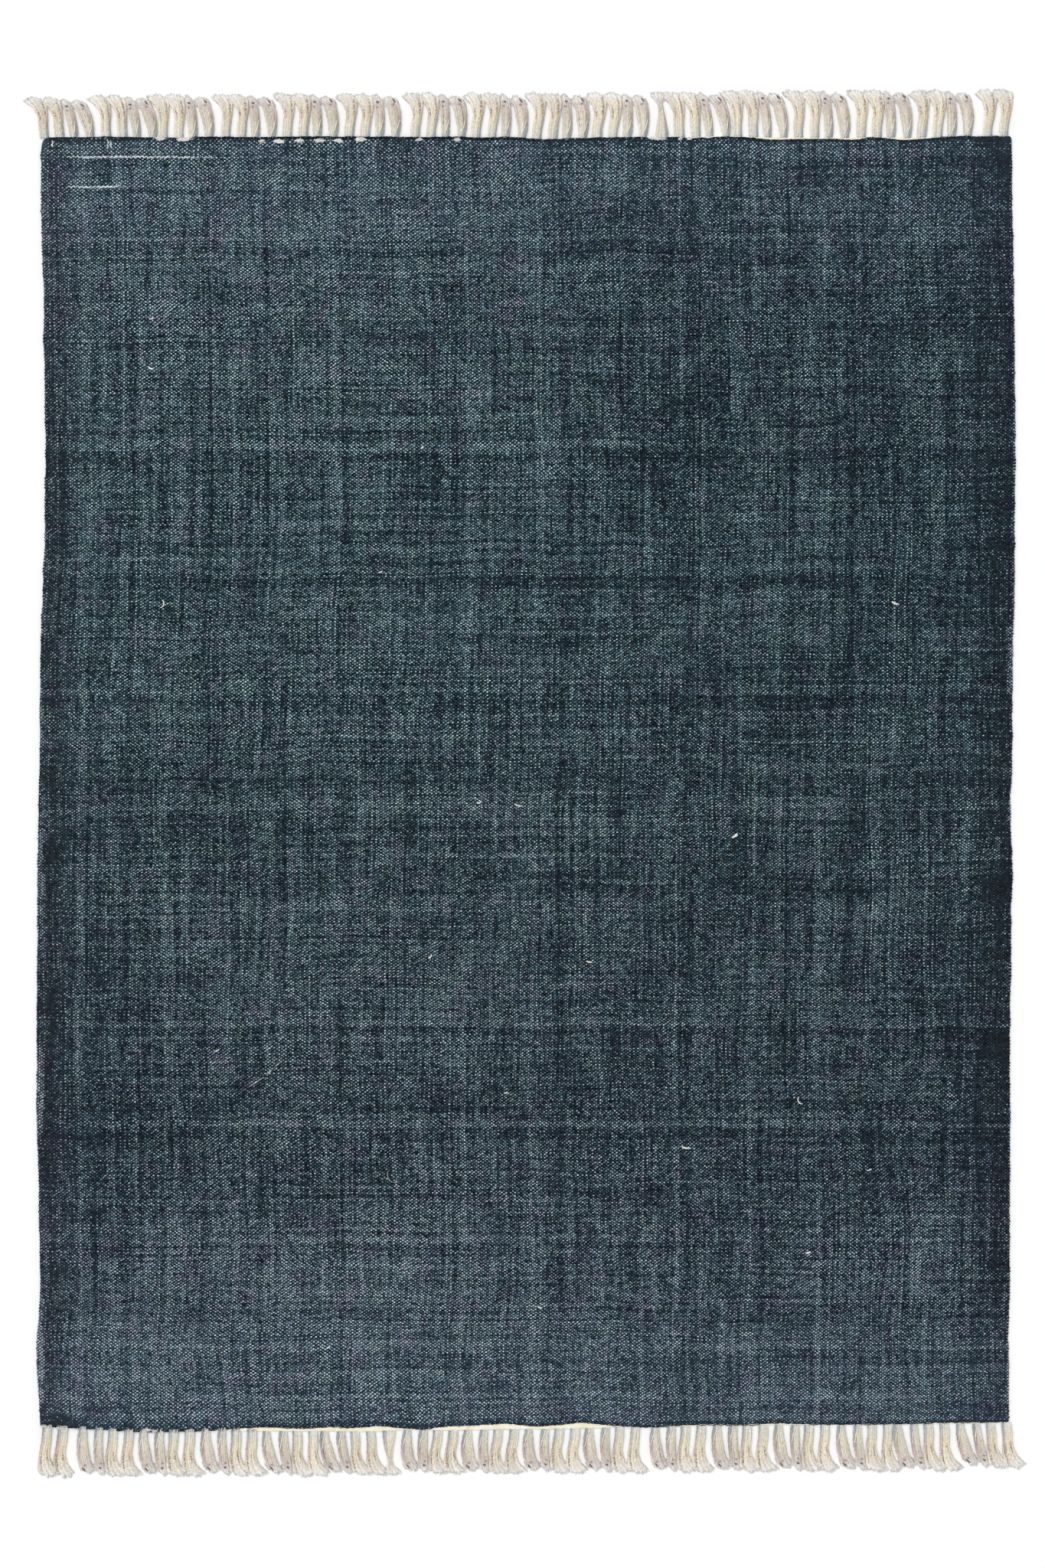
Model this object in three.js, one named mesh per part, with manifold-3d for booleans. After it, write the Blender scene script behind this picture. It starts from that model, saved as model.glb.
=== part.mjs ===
// A flat-woven cotton dhurrie rug, lying flat on the floor. It is one woven cloth with a fringe at
// each end: a natural cotton heading cord, from which the warp ends hang out as loose tassels.
// Millimetres, +Z up. The origin is on the floor under the middle of the rug. +Y runs along the
// warp to the head end, and -Y to the foot end.
import * as THREE from "three";
import { mergeVertices } from "three/addons/utils/BufferGeometryUtils.js";
import Module from "manifold-3d";

// Driving dimensions, in millimetres.
const CLOTH_WIDTH = 1400; // selvedge to selvedge
const CLOTH_LENGTH = 1854; // heading to heading
const CLOTH_THICK = 4; // heavy cotton in plain weave
const CLOTH_RIM = 1.2; // softening of the cloth's rim
const CORD_CLEARANCE = 0.3; // between the cloth and the heading cord
const TASSEL_ROOT = 1.2; // how deep a tassel's root lies in the cord
const TASSEL_THICK = 5; // at the middle of a tassel

const INDIGO = 0x26333f; // the cloth's dark blue cotton
const NATURAL = 0xdcd2bf; // the fringes' undyed cotton

// Points along each curved edge, and round each corner.
const SELVEDGE_STEPS = 28;
const END_STEPS = 36;
const CORNER_STEPS = 4;

// Where the selvedges run, by distance from the rug's middle: how far each stands to +X of its
// straight line, since the weaver's width wanders by a few millimetres.
const SELVEDGES = [
  { along: -914, left: -2, right: -3 },
  { along: -820, left: -4, right: -4 },
  { along: -730, left: 0.5, right: -2 },
  { along: -600, left: -1, right: -1.5 },
  { along: -450, left: -4, right: -2.5 },
  { along: -170, left: -3, right: 0.5 },
  { along: 0, left: -1, right: 0.5 },
  { along: 190, left: 2, right: 3 },
  { along: 330, left: 7, right: 5 },
  { along: 455, left: 9, right: 6 },
  { along: 560, left: 7, right: 5.5 },
  { along: 700, left: 6.5, right: 3.5 },
  { along: 820, left: 3, right: 2 },
  { along: 908, left: 3, right: 1 },
];

// Where the woven ends run: how far each stands out from its straight line.
const ENDS = [
  { across: -686, head: 2, foot: 3 },
  { across: -600, head: 2.4, foot: 7 },
  { across: -540, head: 0.5, foot: 9.5 },
  { across: -480, head: 1, foot: 8.4 },
  { across: -400, head: 2.2, foot: 3.5 },
  { across: -316, head: 2, foot: 5 },
  { across: -240, head: 2, foot: 4.5 },
  { across: -150, head: 1.5, foot: 6.3 },
  { across: -95, head: 1.2, foot: 1.3 },
  { across: -40, head: 0, foot: -1.5 },
  { across: 30, head: -2, foot: 1 },
  { across: 87, head: 0.5, foot: -2 },
  { across: 192, head: 1.5, foot: 3.5 },
  { across: 291, head: 1, foot: -0.2 },
  { across: 390, head: -2, foot: -1.5 },
  { across: 500, head: 1.8, foot: -1.5 },
  { across: 570, head: -1, foot: -2.5 },
  { across: 640, head: 2.5, foot: -3.5 },
  { across: 689, head: 3.5, foot: -4.5 },
];

// Where the heading cords' outer sides run, from the same straight lines. The foot's cord is the
// wider one, for the cloth wavers there and the cord fills the room.
const CORDS = [
  { across: -689, head: 4.5, foot: 7 },
  { across: -540, head: 4.5, foot: 12.5 },
  { across: -300, head: 4.5, foot: 10 },
  { across: -100, head: 4, foot: 9 },
  { across: 60, head: 3.5, foot: 7.5 },
  { across: 200, head: 4.5, foot: 7 },
  { across: 400, head: 3, foot: 2.5 },
  { across: 600, head: 4, foot: 1 },
  { across: 691, head: 6, foot: -1 },
];

// The tassels' forms, by share of the tassel's length: where its left and right sides run beside the
// middle of its root, and its thickness as a share of TASSEL_THICK.
const SPLAYED = [
  { out: 0, left: -7, right: 7, thick: 0.6 },
  { out: 0.5, left: -5.5, right: 10, thick: 1 },
  { out: 0.8, left: -12.5, right: 10.2, thick: 0.8 },
  { out: 0.9, left: -19.4, right: 7.8, thick: 0.6 },
  { out: 1, left: -13, right: -6, thick: 0.4 },
];
const CURLED = [
  { out: 0, left: -6, right: 6, thick: 0.6 },
  { out: 0.5, left: -7.5, right: 7.2, thick: 1 },
  { out: 0.65, left: -8.5, right: 6, thick: 1 },
  { out: 0.8, left: -9.2, right: 3.5, thick: 0.8 },
  { out: 0.94, left: -11.5, right: -5, thick: 0.5 },
];
const BOWED = [
  { out: 0, left: -4.6, right: 6, thick: 0.6 },
  { out: 0.25, left: -6.7, right: 8.9, thick: 1 },
  { out: 0.5, left: -10.3, right: 8.6, thick: 1 },
  { out: 0.8, left: -17.2, right: 2.5, thick: 0.8 },
  { out: 0.91, left: -16.5, right: -5, thick: 0.5 },
];
const WAISTED = [
  { out: 0, left: -9, right: 10, thick: 0.6 },
  { out: 0.25, left: -7.7, right: 9, thick: 0.9 },
  { out: 0.6, left: -5.1, right: 4, thick: 1 },
  { out: 0.9, left: -14, right: 5, thick: 0.7 },
  { out: 1, left: -8, right: -1, thick: 0.4 },
];

// The tassels come in fours: two that splay at the tip, one that curls and one that bows.
const FOUR = [
  { at: 0, form: SPLAYED },
  { at: 23, form: SPLAYED },
  { at: 43, form: CURLED },
  { at: 66, form: BOWED },
];
const ONE = [{ at: 0, form: WAISTED }];
const PAIR = FOUR.slice(0, 2);

// Each group's first tassel, from the left selvedge, how far its tips lean to the left, and how far
// they reach past the straight line of the head end and of the foot end. The foot's fringe is the
// head's, turned half round.
const GROUPS = [
  { start: 7, tassels: FOUR, lean: 9.3, head: 60, foot: 63 },
  { start: 97, tassels: FOUR, lean: 7.2, head: 63.5, foot: 67 },
  { start: 178, tassels: FOUR, lean: 2.2, head: 65, foot: 68 },
  { start: 268, tassels: FOUR, lean: 0, head: 65, foot: 68 },
  { start: 357, tassels: FOUR, lean: -0.4, head: 66.5, foot: 69 },
  { start: 446, tassels: FOUR, lean: -2.3, head: 66, foot: 69 },
  { start: 541, tassels: FOUR, lean: -2.2, head: 67, foot: 70 },
  { start: 628, tassels: FOUR, lean: -3.7, head: 67, foot: 70 },
  { start: 716, tassels: FOUR, lean: -4.2, head: 67.5, foot: 71 },
  { start: 803, tassels: FOUR, lean: -4.3, head: 67.5, foot: 71 },
  { start: 896, tassels: ONE, lean: 0, head: 68.5, foot: 72 },
  { start: 923, tassels: FOUR, lean: 6.9, head: 69, foot: 73 },
  { start: 1006, tassels: FOUR, lean: 4.3, head: 71, foot: 74 },
  { start: 1094, tassels: FOUR, lean: 1.2, head: 71, foot: 74 },
  { start: 1184, tassels: FOUR, lean: 0.4, head: 71.5, foot: 75 },
  { start: 1271, tassels: FOUR, lean: -2.6, head: 71.5, foot: 75 },
  { start: 1366, tassels: PAIR, lean: -4, head: 72.5, foot: 76 },
];

const wasm = await Module();
wasm.setup();

// A closed geometry as a manifold-3d solid.
function solidOf(geometry) {
  const bare = geometry.clone();
  bare.deleteAttribute("normal");
  bare.deleteAttribute("uv");
  const merged = mergeVertices(bare, 1e-4);
  const vertProperties = merged.attributes.position.array;
  const triVerts = new Uint32Array(merged.index.array);
  return new wasm.Manifold(new wasm.Mesh({ numProp: 3, vertProperties, triVerts }));
}

// A manifold-3d solid as a three.js geometry.
function geometryOf(solid) {
  const { vertProperties, triVerts } = solid.getMesh();
  const geometry = new THREE.BufferGeometry();
  geometry.setAttribute("position", new THREE.BufferAttribute(vertProperties, 3));
  geometry.setIndex(new THREE.BufferAttribute(triVerts, 1));
  geometry.computeVertexNormals();
  return geometry;
}

// A flat outline as a slab standing on the floor, with its rim softened.
function slab(outline, thick, rim) {
  const geometry = new THREE.ExtrudeGeometry(new THREE.Shape(outline), {
    depth: thick - 2 * rim,
    bevelEnabled: rim > 0,
    bevelThickness: rim,
    bevelSize: rim,
    bevelOffset: -rim,
    bevelSegments: 1,
  });
  return geometry.translate(0, 0, rim);
}

// The smooth line through a table's column, from left to right, seen with that end of the rug
// upwards. The foot end is so seen with the rug turned half round.
function endLine(table, end) {
  const turn = end === "foot" ? -1 : 1;
  const knots = table.map((row) => {
    return new THREE.Vector2(turn * row.across, CLOTH_LENGTH / 2 + row[end]);
  });
  if (turn < 0) knots.reverse();
  return new THREE.SplineCurve(knots).getPoints(END_STEPS);
}

// The smooth line of one selvedge, from the foot end to the head end.
function selvedgeLine(side) {
  const middle = side === "left" ? -CLOTH_WIDTH / 2 : CLOTH_WIDTH / 2;
  const knots = SELVEDGES.map((row) => new THREE.Vector2(middle + row[side], row.along));
  return new THREE.SplineCurve(knots).getPoints(SELVEDGE_STEPS);
}

// The height of a line of points at x.
function heightAt(line, x) {
  const next = line.findIndex((p) => p.x >= x);
  const i = next < 1 ? 1 : next;
  const [p, q] = [line[i - 1], line[i]];
  return p.y + ((x - p.x) / (q.x - p.x)) * (q.y - p.y);
}

// The cloth's outline: up the left selvedge, along the head end, down the right selvedge and back
// along the foot end, with a rounded corner after each edge.
function clothOutline() {
  const edges = [
    selvedgeLine("left"),
    endLine(ENDS, "head"),
    selvedgeLine("right").reverse(),
    endLine(ENDS, "foot").map((p) => new THREE.Vector2(-p.x, -p.y)),
  ];
  const outline = [];
  edges.forEach((edge, i) => {
    const from = edge.at(-1);
    const to = edges[(i + 1) % edges.length][0];
    const upSelvedge = i % 2 === 0;
    const peak = upSelvedge ? new THREE.Vector2(from.x, to.y) : new THREE.Vector2(to.x, from.y);
    const corner = new THREE.QuadraticBezierCurve(from, peak, to).getPoints(CORNER_STEPS);
    outline.push(...edge, ...corner.slice(1, -1));
  });
  return outline.reverse();
}

// One tassel: a bundle of loose warp ends between its two sides, flat below and narrower above.
function tassel(root, length, form, lean) {
  const section = [
    { across: 0, up: 0 },
    { across: 1, up: 0 },
    { across: 0.75, up: 1 },
    { across: 0.25, up: 1 },
  ];
  const positions = [];
  for (const { out, left, right, thick } of form) {
    const y = root.y + out * length;
    for (const { across, up } of section) {
      const x = root.x - lean * out + left + across * (right - left);
      positions.push(x, y, up * thick * TASSEL_THICK);
    }
  }
  const sides = section.length;
  const tip = (form.length - 1) * sides;
  const faces = [];
  for (let ring = 0; ring < tip; ring += sides) {
    for (let k = 0; k < sides; k++) {
      const a = ring + k;
      const b = ring + ((k + 1) % sides);
      faces.push(a, a + sides, b, b, a + sides, b + sides);
    }
  }
  for (let k = 1; k < sides - 1; k++) {
    faces.push(0, k, k + 1);
    faces.push(tip, tip + k + 1, tip + k);
  }
  const geometry = new THREE.BufferGeometry();
  geometry.setAttribute("position", new THREE.Float32BufferAttribute(positions, 3));
  geometry.setIndex(faces);
  return geometry;
}

// A whole fringe as one comb, seen with its end upwards: the heading cord, which follows the
// cloth's end, and the tassels, whose roots lie in the cord.
function fringe(end) {
  const inner = endLine(ENDS, end).map((p) => new THREE.Vector2(p.x, p.y + CORD_CLEARANCE));
  const outer = endLine(CORDS, end);
  let comb = solidOf(slab([...inner, ...outer.toReversed()], CLOTH_THICK, 0));
  for (const group of GROUPS) {
    for (const { at, form } of group.tassels) {
      const x = group.start + at - CLOTH_WIDTH / 2;
      const root = new THREE.Vector2(x, heightAt(outer, x) - TASSEL_ROOT);
      const length = CLOTH_LENGTH / 2 + group[end] - root.y;
      comb = comb.add(solidOf(tassel(root, length, form, group.lean)));
    }
  }
  return geometryOf(comb);
}

function part(name, geometry, color) {
  const material = new THREE.MeshStandardMaterial({ color, roughness: 0.95, metalness: 0 });
  const mesh = new THREE.Mesh(geometry, material);
  mesh.name = name;
  return mesh;
}

const cloth = part("dhurrie_cloth", slab(clothOutline(), CLOTH_THICK, CLOTH_RIM), INDIGO);
const headFringe = part("fringe_head", fringe("head"), NATURAL);
const footFringe = part("fringe_foot", fringe("foot"), NATURAL);
footFringe.rotation.z = Math.PI;

// The parts' common box is brought over the origin.
const rug = new THREE.Group();
rug.add(cloth, headFringe, footFringe);
const middle = new THREE.Box3().setFromObject(rug, true).getCenter(new THREE.Vector3());
rug.position.set(-middle.x, -middle.y, 0);

export default rug;
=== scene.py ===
"""A flat-woven cotton dhurrie rug lying on a pale floor: a stone-washed indigo cloth in plain weave,
with an undyed cotton heading and a fringe of loose tassels at each end. Sizes in the tables are
millimetres from the rug's middle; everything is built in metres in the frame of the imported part.
"""

import math

import bpy
import numpy as np
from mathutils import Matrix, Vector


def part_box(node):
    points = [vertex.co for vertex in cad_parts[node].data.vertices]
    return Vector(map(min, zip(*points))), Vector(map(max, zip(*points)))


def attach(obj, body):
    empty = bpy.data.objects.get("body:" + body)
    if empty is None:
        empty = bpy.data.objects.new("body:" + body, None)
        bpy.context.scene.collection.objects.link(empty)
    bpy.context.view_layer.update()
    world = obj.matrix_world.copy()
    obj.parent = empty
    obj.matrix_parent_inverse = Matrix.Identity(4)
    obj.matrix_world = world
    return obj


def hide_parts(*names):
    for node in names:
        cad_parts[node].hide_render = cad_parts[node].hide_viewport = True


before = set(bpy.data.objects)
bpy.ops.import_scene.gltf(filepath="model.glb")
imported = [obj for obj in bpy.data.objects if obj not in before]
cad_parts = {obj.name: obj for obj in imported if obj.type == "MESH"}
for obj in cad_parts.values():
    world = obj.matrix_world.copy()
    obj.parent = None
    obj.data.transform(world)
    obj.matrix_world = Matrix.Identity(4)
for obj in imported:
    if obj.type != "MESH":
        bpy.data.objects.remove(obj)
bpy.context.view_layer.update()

# ---- The woven cloth -------------------------------------------------------------------------
# A heavy cotton plain weave: some 450 undyed warp ends under 820 indigo picks, so that each warp
# shows as a pale fleck between two dark floats. It was stone-washed after weaving, which wore the
# flecks unevenly in streaks and along the folds, where painted light and shade is added too. The
# weaver's width wanders by a few millimetres.
MM = 0.001
CLOTH_WIDTH = 1400
CLOTH_LENGTH = 1854
CLOTH_THICK = 3.6
RIM = 2.2  # how far in from its edge the cloth has its full thickness


def table_of(columns, *rows):
    """A table's rows, each value under its column's name."""
    return [dict(zip(columns.split(), row)) for row in rows]


# From one warp end to the next: the reed is a little closer on the right.
WARP_GAPS = table_of("across gap",
    (-700, 3.08), (-640, 3.12), (-455, 3.23), (-120, 3.17), (10, 2.98), (110, 3.04), (380, 2.97),
    (700, 2.98))
# From one pick to the next: how hard the weaver beat them varied.
PICK_GAPS = table_of("along gap",
    (-927, 2.32), (-813, 2.2), (-530, 2.28), (-318, 2.17), (-36, 2.13), (105, 2.29), (317, 2.13),
    (458, 2.31), (780, 2.31), (882, 2.48), (927, 2.5))

# How far each selvedge stands to +X of its straight line.
SELVEDGES = table_of("along left right",
    (-914, 0.3, -3), (-820, -4, -4), (-730, 0.5, -2), (-600, -1, -1.5), (-450, -4, -2.5),
    (-170, -3, 0.5), (0, -1, 0.5), (190, 2, 3), (330, 7, 5), (455, 9, 6), (560, 7, 5.5),
    (700, 6.5, 3.5), (820, 3, 2), (908, 3, 1))
# How far the woven head end stands out from its straight line.
HEAD_END = table_of("across out",
    (-686, 2.2), (-640, 1.8), (-613, 2.8), (-545, 1.8), (-507, 1.8), (-450, 2.8), (-375, 2.0),
    (-309, 3.2), (-150, 2.6), (-100, 3.0), (-64, 1.5), (-18, 2.0), (29, -0.9), (88, 0.7),
    (135, 1.9), (215, 2.4), (236, 0.6), (274, 2.9), (313, 2.5), (360, -1.2), (430, -0.3),
    (475, -1.4), (500, 2.2), (524, -0.3), (560, -1.3), (605, 2.9), (630, 3.7), (655, 3.2),
    (689, 4.0))
# And how far the foot end does.
FOOT_END = table_of("across out",
    (-686, 2.5), (-650, 4.5), (-600, 7), (-540, 9.8), (-480, 8.6), (-430, 6), (-380, 3),
    (-316, 4.6), (-280, 2.2), (-250, 3.8), (-210, 1.5), (-150, 6), (-117, 2), (-64, -0.3),
    (-30, -2.4), (20, 1.1), (82, -3.4), (128, 0.3), (185, 3), (240, -0.6), (320, -0.4), (356, -2.8),
    (440, -0.9), (560, -2.6), (640, -4.1), (689, -4.2))
# Short dips of the head end, where the cream heading pushes into the cloth.
NOTCHES = table_of("across wide deep",
    (-526, 16, 2.6), (-490, 22, 3.6), (190, 28, 2.6), (236, 5, 1.6), (264, 4, 1.2))
CORNERS = dict(head_left=13, head_right=4, foot_left=5, foot_right=4)
# Rows along the folds: pale ones that the wash wore, with a painted highlight on the fold's ridge,
# and dark ones beside them, a painted shadow under the fold.
FOLD_WEAR_AND_SHADE = table_of("along wear wide",
    (-904, -0.4, 14), (-882, 0.5, 5), (-830, -0.5, 12), (-811, 0.6, 5), (-766, -0.4, 16),
    (-667, -0.4, 8), (-657, 0.7, 5), (-507, -0.7, 12), (-493, 0.75, 5), (-466, -0.4, 10),
    (-356, -0.5, 12), (-346, 1.0, 5), (-178, 0.5, 6), (-150, -0.4, 12), (-39, 0.5, 6),
    (1, -0.4, 14), (116, -0.6, 14), (133, 0.7, 5), (208, 0.4, 6), (290, -0.5, 16), (303, 0.5, 5),
    (467, -0.5, 14), (484, 0.55, 5), (597, 0.7, 5), (730, 0.35, 6), (762, -0.4, 10), (780, 0.6, 5),
    (829, 0.4, 5), (890, -0.45, 14))
# Bands of warp that took more of the wear, or less, right along the cloth.
WORN_WARPS = table_of("across wear wide",
    (-677, -0.3, 14), (-638, 0.8, 9), (-604, -0.4, 8), (-587, 0.35, 6), (-571, -0.5, 8),
    (-556, 0.5, 5), (-513, 0.5, 6), (-461, -0.5, 10), (-425, 0.5, 8), (-396, -0.5, 6),
    (-387, 0.55, 5), (-377, -0.6, 6), (-361, 0.4, 6), (-282, 0.5, 8), (-264, -0.5, 8),
    (-238, 0.4, 8), (-186, 0.55, 6), (-87, 0.9, 7), (-39, 0.3, 5), (14, 0.7, 7), (52, -0.6, 10),
    (114, 0.4, 8), (171, 0.4, 6), (218, 0.5, 6), (234, -0.55, 8), (253, 0.5, 6), (270, -0.4, 8),
    (328, 0.7, 7), (362, 0.6, 6), (377, -0.7, 7), (423, 0.7, 7), (464, -0.55, 10), (484, -0.4, 8),
    (533, 0.4, 7), (577, 0.45, 8), (603, -0.4, 8), (635, 0.3, 6), (650, -0.35, 14))
# Larger patches: how far they reach each way, and how much more or less they are worn.
PATCHES = table_of("across along wide long wear",
    (-680, -922, 70, 24, -1.2), (660, 900, 110, 60, -0.6), (-690, 195, 20, 25, -0.9),
    (-685, -103, 25, 28, -1.1), (680, 780, 22, 14, -0.8), (688, -143, 30, 40, -0.9),
    (683, -378, 35, 35, -0.8), (200, 620, 130, 400, -0.45), (480, 560, 280, 400, -0.3),
    (-620, -300, 200, 600, -0.35), (-300, -75, 350, 80, -0.3), (-560, 830, 150, 110, 0.2),
    (-67, 53, 3.5, 90, 1.6), (150, 38, 20, 2.4, 2.6), (147, -105, 18, 2.4, 2.6),
    (2, -105, 46, 2.4, 1.5))
# Lengths of selvedge where the last warp and the weft's turns are worn pale.
WORN_EDGES = table_of("side along long wear",
    ("left", 800, 130, 0.4), ("left", 101, 60, 0.6), ("left", -138, 110, 0.7),
    ("left", -445, 100, 1.1), ("left", -820, 100, 1.0), ("right", 181, 95, 0.7),
    ("right", -38, 24, 0.5), ("right", -850, 75, 0.8))


def smooth_line(knots, steps=14):
    """Points on the smooth line that passes through the knots."""
    k = np.array(knots, float)
    k = np.vstack([k[:1], k, k[-1:]])
    t = np.linspace(0, 1, steps, endpoint=False)[:, None]
    spans = []
    for before, start, end, after in zip(k, k[1:], k[2:], k[3:]):
        a, b = (end - before) / 2, (after - start) / 2
        cubic = 2 * start - 2 * end + a + b
        square = -3 * start + 3 * end - 2 * a - b
        spans.append(cubic * t**3 + square * t**2 + a * t + start)
    return np.vstack([*spans, k[-1:]])


def read_off(table, key, column, at):
    """The value of a table's column at each place, along the smooth line through its rows."""
    line = smooth_line([(row[key], row[column]) for row in table])
    return np.interp(at, line[:, 0], line[:, 1])


def threads_to(table, key, length, at):
    """How many threads lie before each place, counted from the cloth's left side or its foot."""
    fine = np.linspace(-length / 2, length / 2, 400)
    crowding = 1 / read_off(table, key, "gap", fine)
    passed = np.cumsum((crowding[1:] + crowding[:-1]) / 2 * np.diff(fine))
    return np.interp(at, fine, np.concatenate([[0], passed]))


def wobble(seed, length, reach, at):
    """Small unevenness along an edge, with bumps about that far apart and standing that far out."""
    knots = np.arange(-CLOTH_LENGTH, CLOTH_LENGTH, length)
    return np.interp(at, knots, np.random.default_rng(seed).normal(0, reach, len(knots)))


def ragged(side, y):
    """The small unevenness of a selvedge at y."""
    seed = 81 if side == "left" else 82
    return wobble(seed, 13, 0.4, y) + wobble(seed + 10, 48, 0.55, y)


WARP_ENDS = float(threads_to(WARP_GAPS, "across", CLOTH_WIDTH, CLOTH_WIDTH / 2))
PICKS = float(threads_to(PICK_GAPS, "along", CLOTH_LENGTH, CLOTH_LENGTH / 2))


def head_line(x):
    """How far the head end stands out at x, notches included."""
    out = read_off(HEAD_END, "across", "out", x)
    for notch in NOTCHES:
        out = out - notch["deep"] * np.exp(-(((x - notch["across"]) / notch["wide"] * 2) ** 4))
    return out


def even_steps(length, step, fine):
    """Places from 0 to length, about a step apart, with the fine ones added at both ends."""
    inner = np.linspace(fine[-1], length - fine[-1], round((length - 2 * fine[-1]) / step) + 1)
    return np.concatenate([fine[:-1], inner, length - np.array(fine[:-1])[::-1]])


def rounded_corner(x, y, right, top, radius):
    """Moves grid points near one corner of the sheet on to a rounded corner."""
    sx, sy = (1 if right else -1), (1 if top else -1)
    u = np.clip((sx * x - (CLOTH_WIDTH / 2 - radius)) / radius, 0, 1)
    v = np.clip((sy * y - (CLOTH_LENGTH / 2 - radius)) / radius, 0, 1)
    near = (u > 0) & (v > 0)
    dx = radius * (u * np.sqrt(1 - v * v / 2) - u)
    dy = radius * (v * np.sqrt(1 - u * u / 2) - v)
    return x + np.where(near, sx * dx, 0), y + np.where(near, sy * dy, 0)


def waves(seed, count, length, x, y):
    """Gentle unevenness from -1 to 1, as a sum of waves of about that length in every direction."""
    rng = np.random.default_rng(seed)
    total = np.zeros_like(x)
    for _ in range(count):
        turn, phase = rng.uniform(0, 2 * math.pi, 2)
        k = 2 * math.pi / (length * rng.uniform(0.7, 1.6))
        total += np.sin(k * (x * math.cos(turn) + y * math.sin(turn)) + phase)
    return total / math.sqrt(count)


def add_piece(name, points, faces, material):
    """A smooth mesh object from points in millimetres and faces."""
    mesh = bpy.data.meshes.new(name)
    mesh.from_pydata((np.asarray(points, float) * MM).tolist(), [], faces)
    mesh.polygons.foreach_set("use_smooth", [True] * len(mesh.polygons))
    mesh.materials.append(material)
    piece = bpy.data.objects.new(name, mesh)
    bpy.context.collection.objects.link(piece)
    return piece


def add_map(piece, name, places):
    """Gives a piece a UV map from one place for each of its points."""
    layer = piece.data.uv_layers.new(name=name)
    corners = np.empty(len(piece.data.loops), int)
    piece.data.loops.foreach_get("vertex_index", corners)
    layer.uv.foreach_set("vector", np.asarray(places, np.float32)[corners].ravel())


def linear(code):
    """A hex sRGB colour as linear RGBA."""
    srgb = [int(code[i : i + 2], 16) / 255 for i in (1, 3, 5)]
    return [c / 12.92 if c <= 0.04045 else ((c + 0.055) / 1.055) ** 2.4 for c in srgb] + [1]


def fill_ramp(ramp, stops):
    """Gives a colour ramp its stops: a place and a colour, or a place and a grey value, each."""
    while len(ramp.elements) < len(stops):
        ramp.elements.new(0.5)
    for element, (place, colour) in zip(ramp.elements, stops):
        element.position = place
        element.color = linear(colour) if isinstance(colour, str) else [colour] * 3 + [1]


def add_node(tree, kind, inputs=(), stops=(), **settings):
    """Adds a node with its settings, or a ramp with its stops, and fills its inputs, by place or
    name, with values or nodes."""
    node = tree.nodes.new(kind)
    if stops:
        fill_ramp(node.color_ramp, stops)
    for name, value in settings.items():
        setattr(node, name, value)
    for key, value in dict(inputs).items():
        shown = [s for s in node.inputs if s.enabled]
        socket = shown[key] if isinstance(key, int) else next(s for s in shown if s.name == key)
        if isinstance(value, bpy.types.Node):
            value = next(s for s in value.outputs if s.enabled)
        if isinstance(value, bpy.types.NodeSocket):
            tree.links.new(value, socket)
        else:
            socket.default_value = value
    return node


def bands(table, key, length):
    """Ramp stops, even grey at 0.5, that swing to each row's wear at its place."""
    stops = []
    for row in table:
        at, half = row[key] / length + 0.5, row["wide"] / length
        stops += [(at - half, 0.5), (at, 0.5 + row["wear"] / 2), (at + half, 0.5)]
    return stops


def new_material(name):
    """A material with no nodes yet, and its node tree."""
    material = bpy.data.materials.new(name)
    material.use_nodes = True
    material.node_tree.nodes.clear()
    return material, material.node_tree


def finish_cotton(tree, colour, looks, fibres=()):
    """Ends a material in its surface. Its fibres stand out by their scale, strength and depth."""
    if fibres:
        scale, strength, depth = fibres
        place = add_node(tree, "ShaderNodeTexCoord").outputs["Object"]
        noise = add_node(tree, "ShaderNodeTexNoise", {"Vector": place, "Scale": scale, "Detail": 2.0})
        relief = add_node(tree, "ShaderNodeBump",
                          {"Height": noise, "Strength": strength, "Distance": depth * MM})
        looks = {**looks, "Normal": relief}
    surface = add_node(tree, "ShaderNodeBsdfPrincipled", {"Base Color": colour, **looks})
    add_node(tree, "ShaderNodeOutputMaterial", {"Surface": surface})


# Stone-washed indigo cotton in plain weave: deep blue-black floats with pale, worn warp flecks,
# quite matt. Warp ends lie 3.1 mm apart and picks 2.3 mm apart, their real size.
washed_cotton, tree = new_material("stonewashed_indigo_cotton_weave")
threads = add_node(tree, "ShaderNodeUVMap", uv_map="thread_count")
place = add_node(tree, "ShaderNodeTexCoord").outputs["Object"]
sway = add_node(tree, "ShaderNodeTexNoise", {"Vector": place, "Scale": 7.0, "Detail": 1.0})
shiver = add_node(tree, "ShaderNodeTexNoise", {"Vector": place, "Scale": 55.0, "Detail": 2.0})
wander = threads
for noise, reach in ((sway, (3.5, 7.0, 0)), (shiver, (0.45, 0.6, 0))):
    off = add_node(tree, "ShaderNodeVectorMath", {0: noise.outputs["Color"], 1: (0.5,) * 3},
                   operation="SUBTRACT")
    wander = add_node(tree, "ShaderNodeVectorMath", {0: off, 1: reach, 2: wander},
                      operation="MULTIPLY_ADD")
crossing = add_node(tree, "ShaderNodeVectorMath", {0: wander, 1: (0.5,) * 3}, operation="ADD")
crossing = add_node(tree, "ShaderNodeVectorMath", {0: crossing}, operation="FLOOR")
chance = add_node(tree, "ShaderNodeTexWhiteNoise", {"Vector": crossing}, noise_dimensions="2D")
parts = add_node(tree, "ShaderNodeSeparateXYZ", {0: chance.outputs["Color"]})

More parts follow.
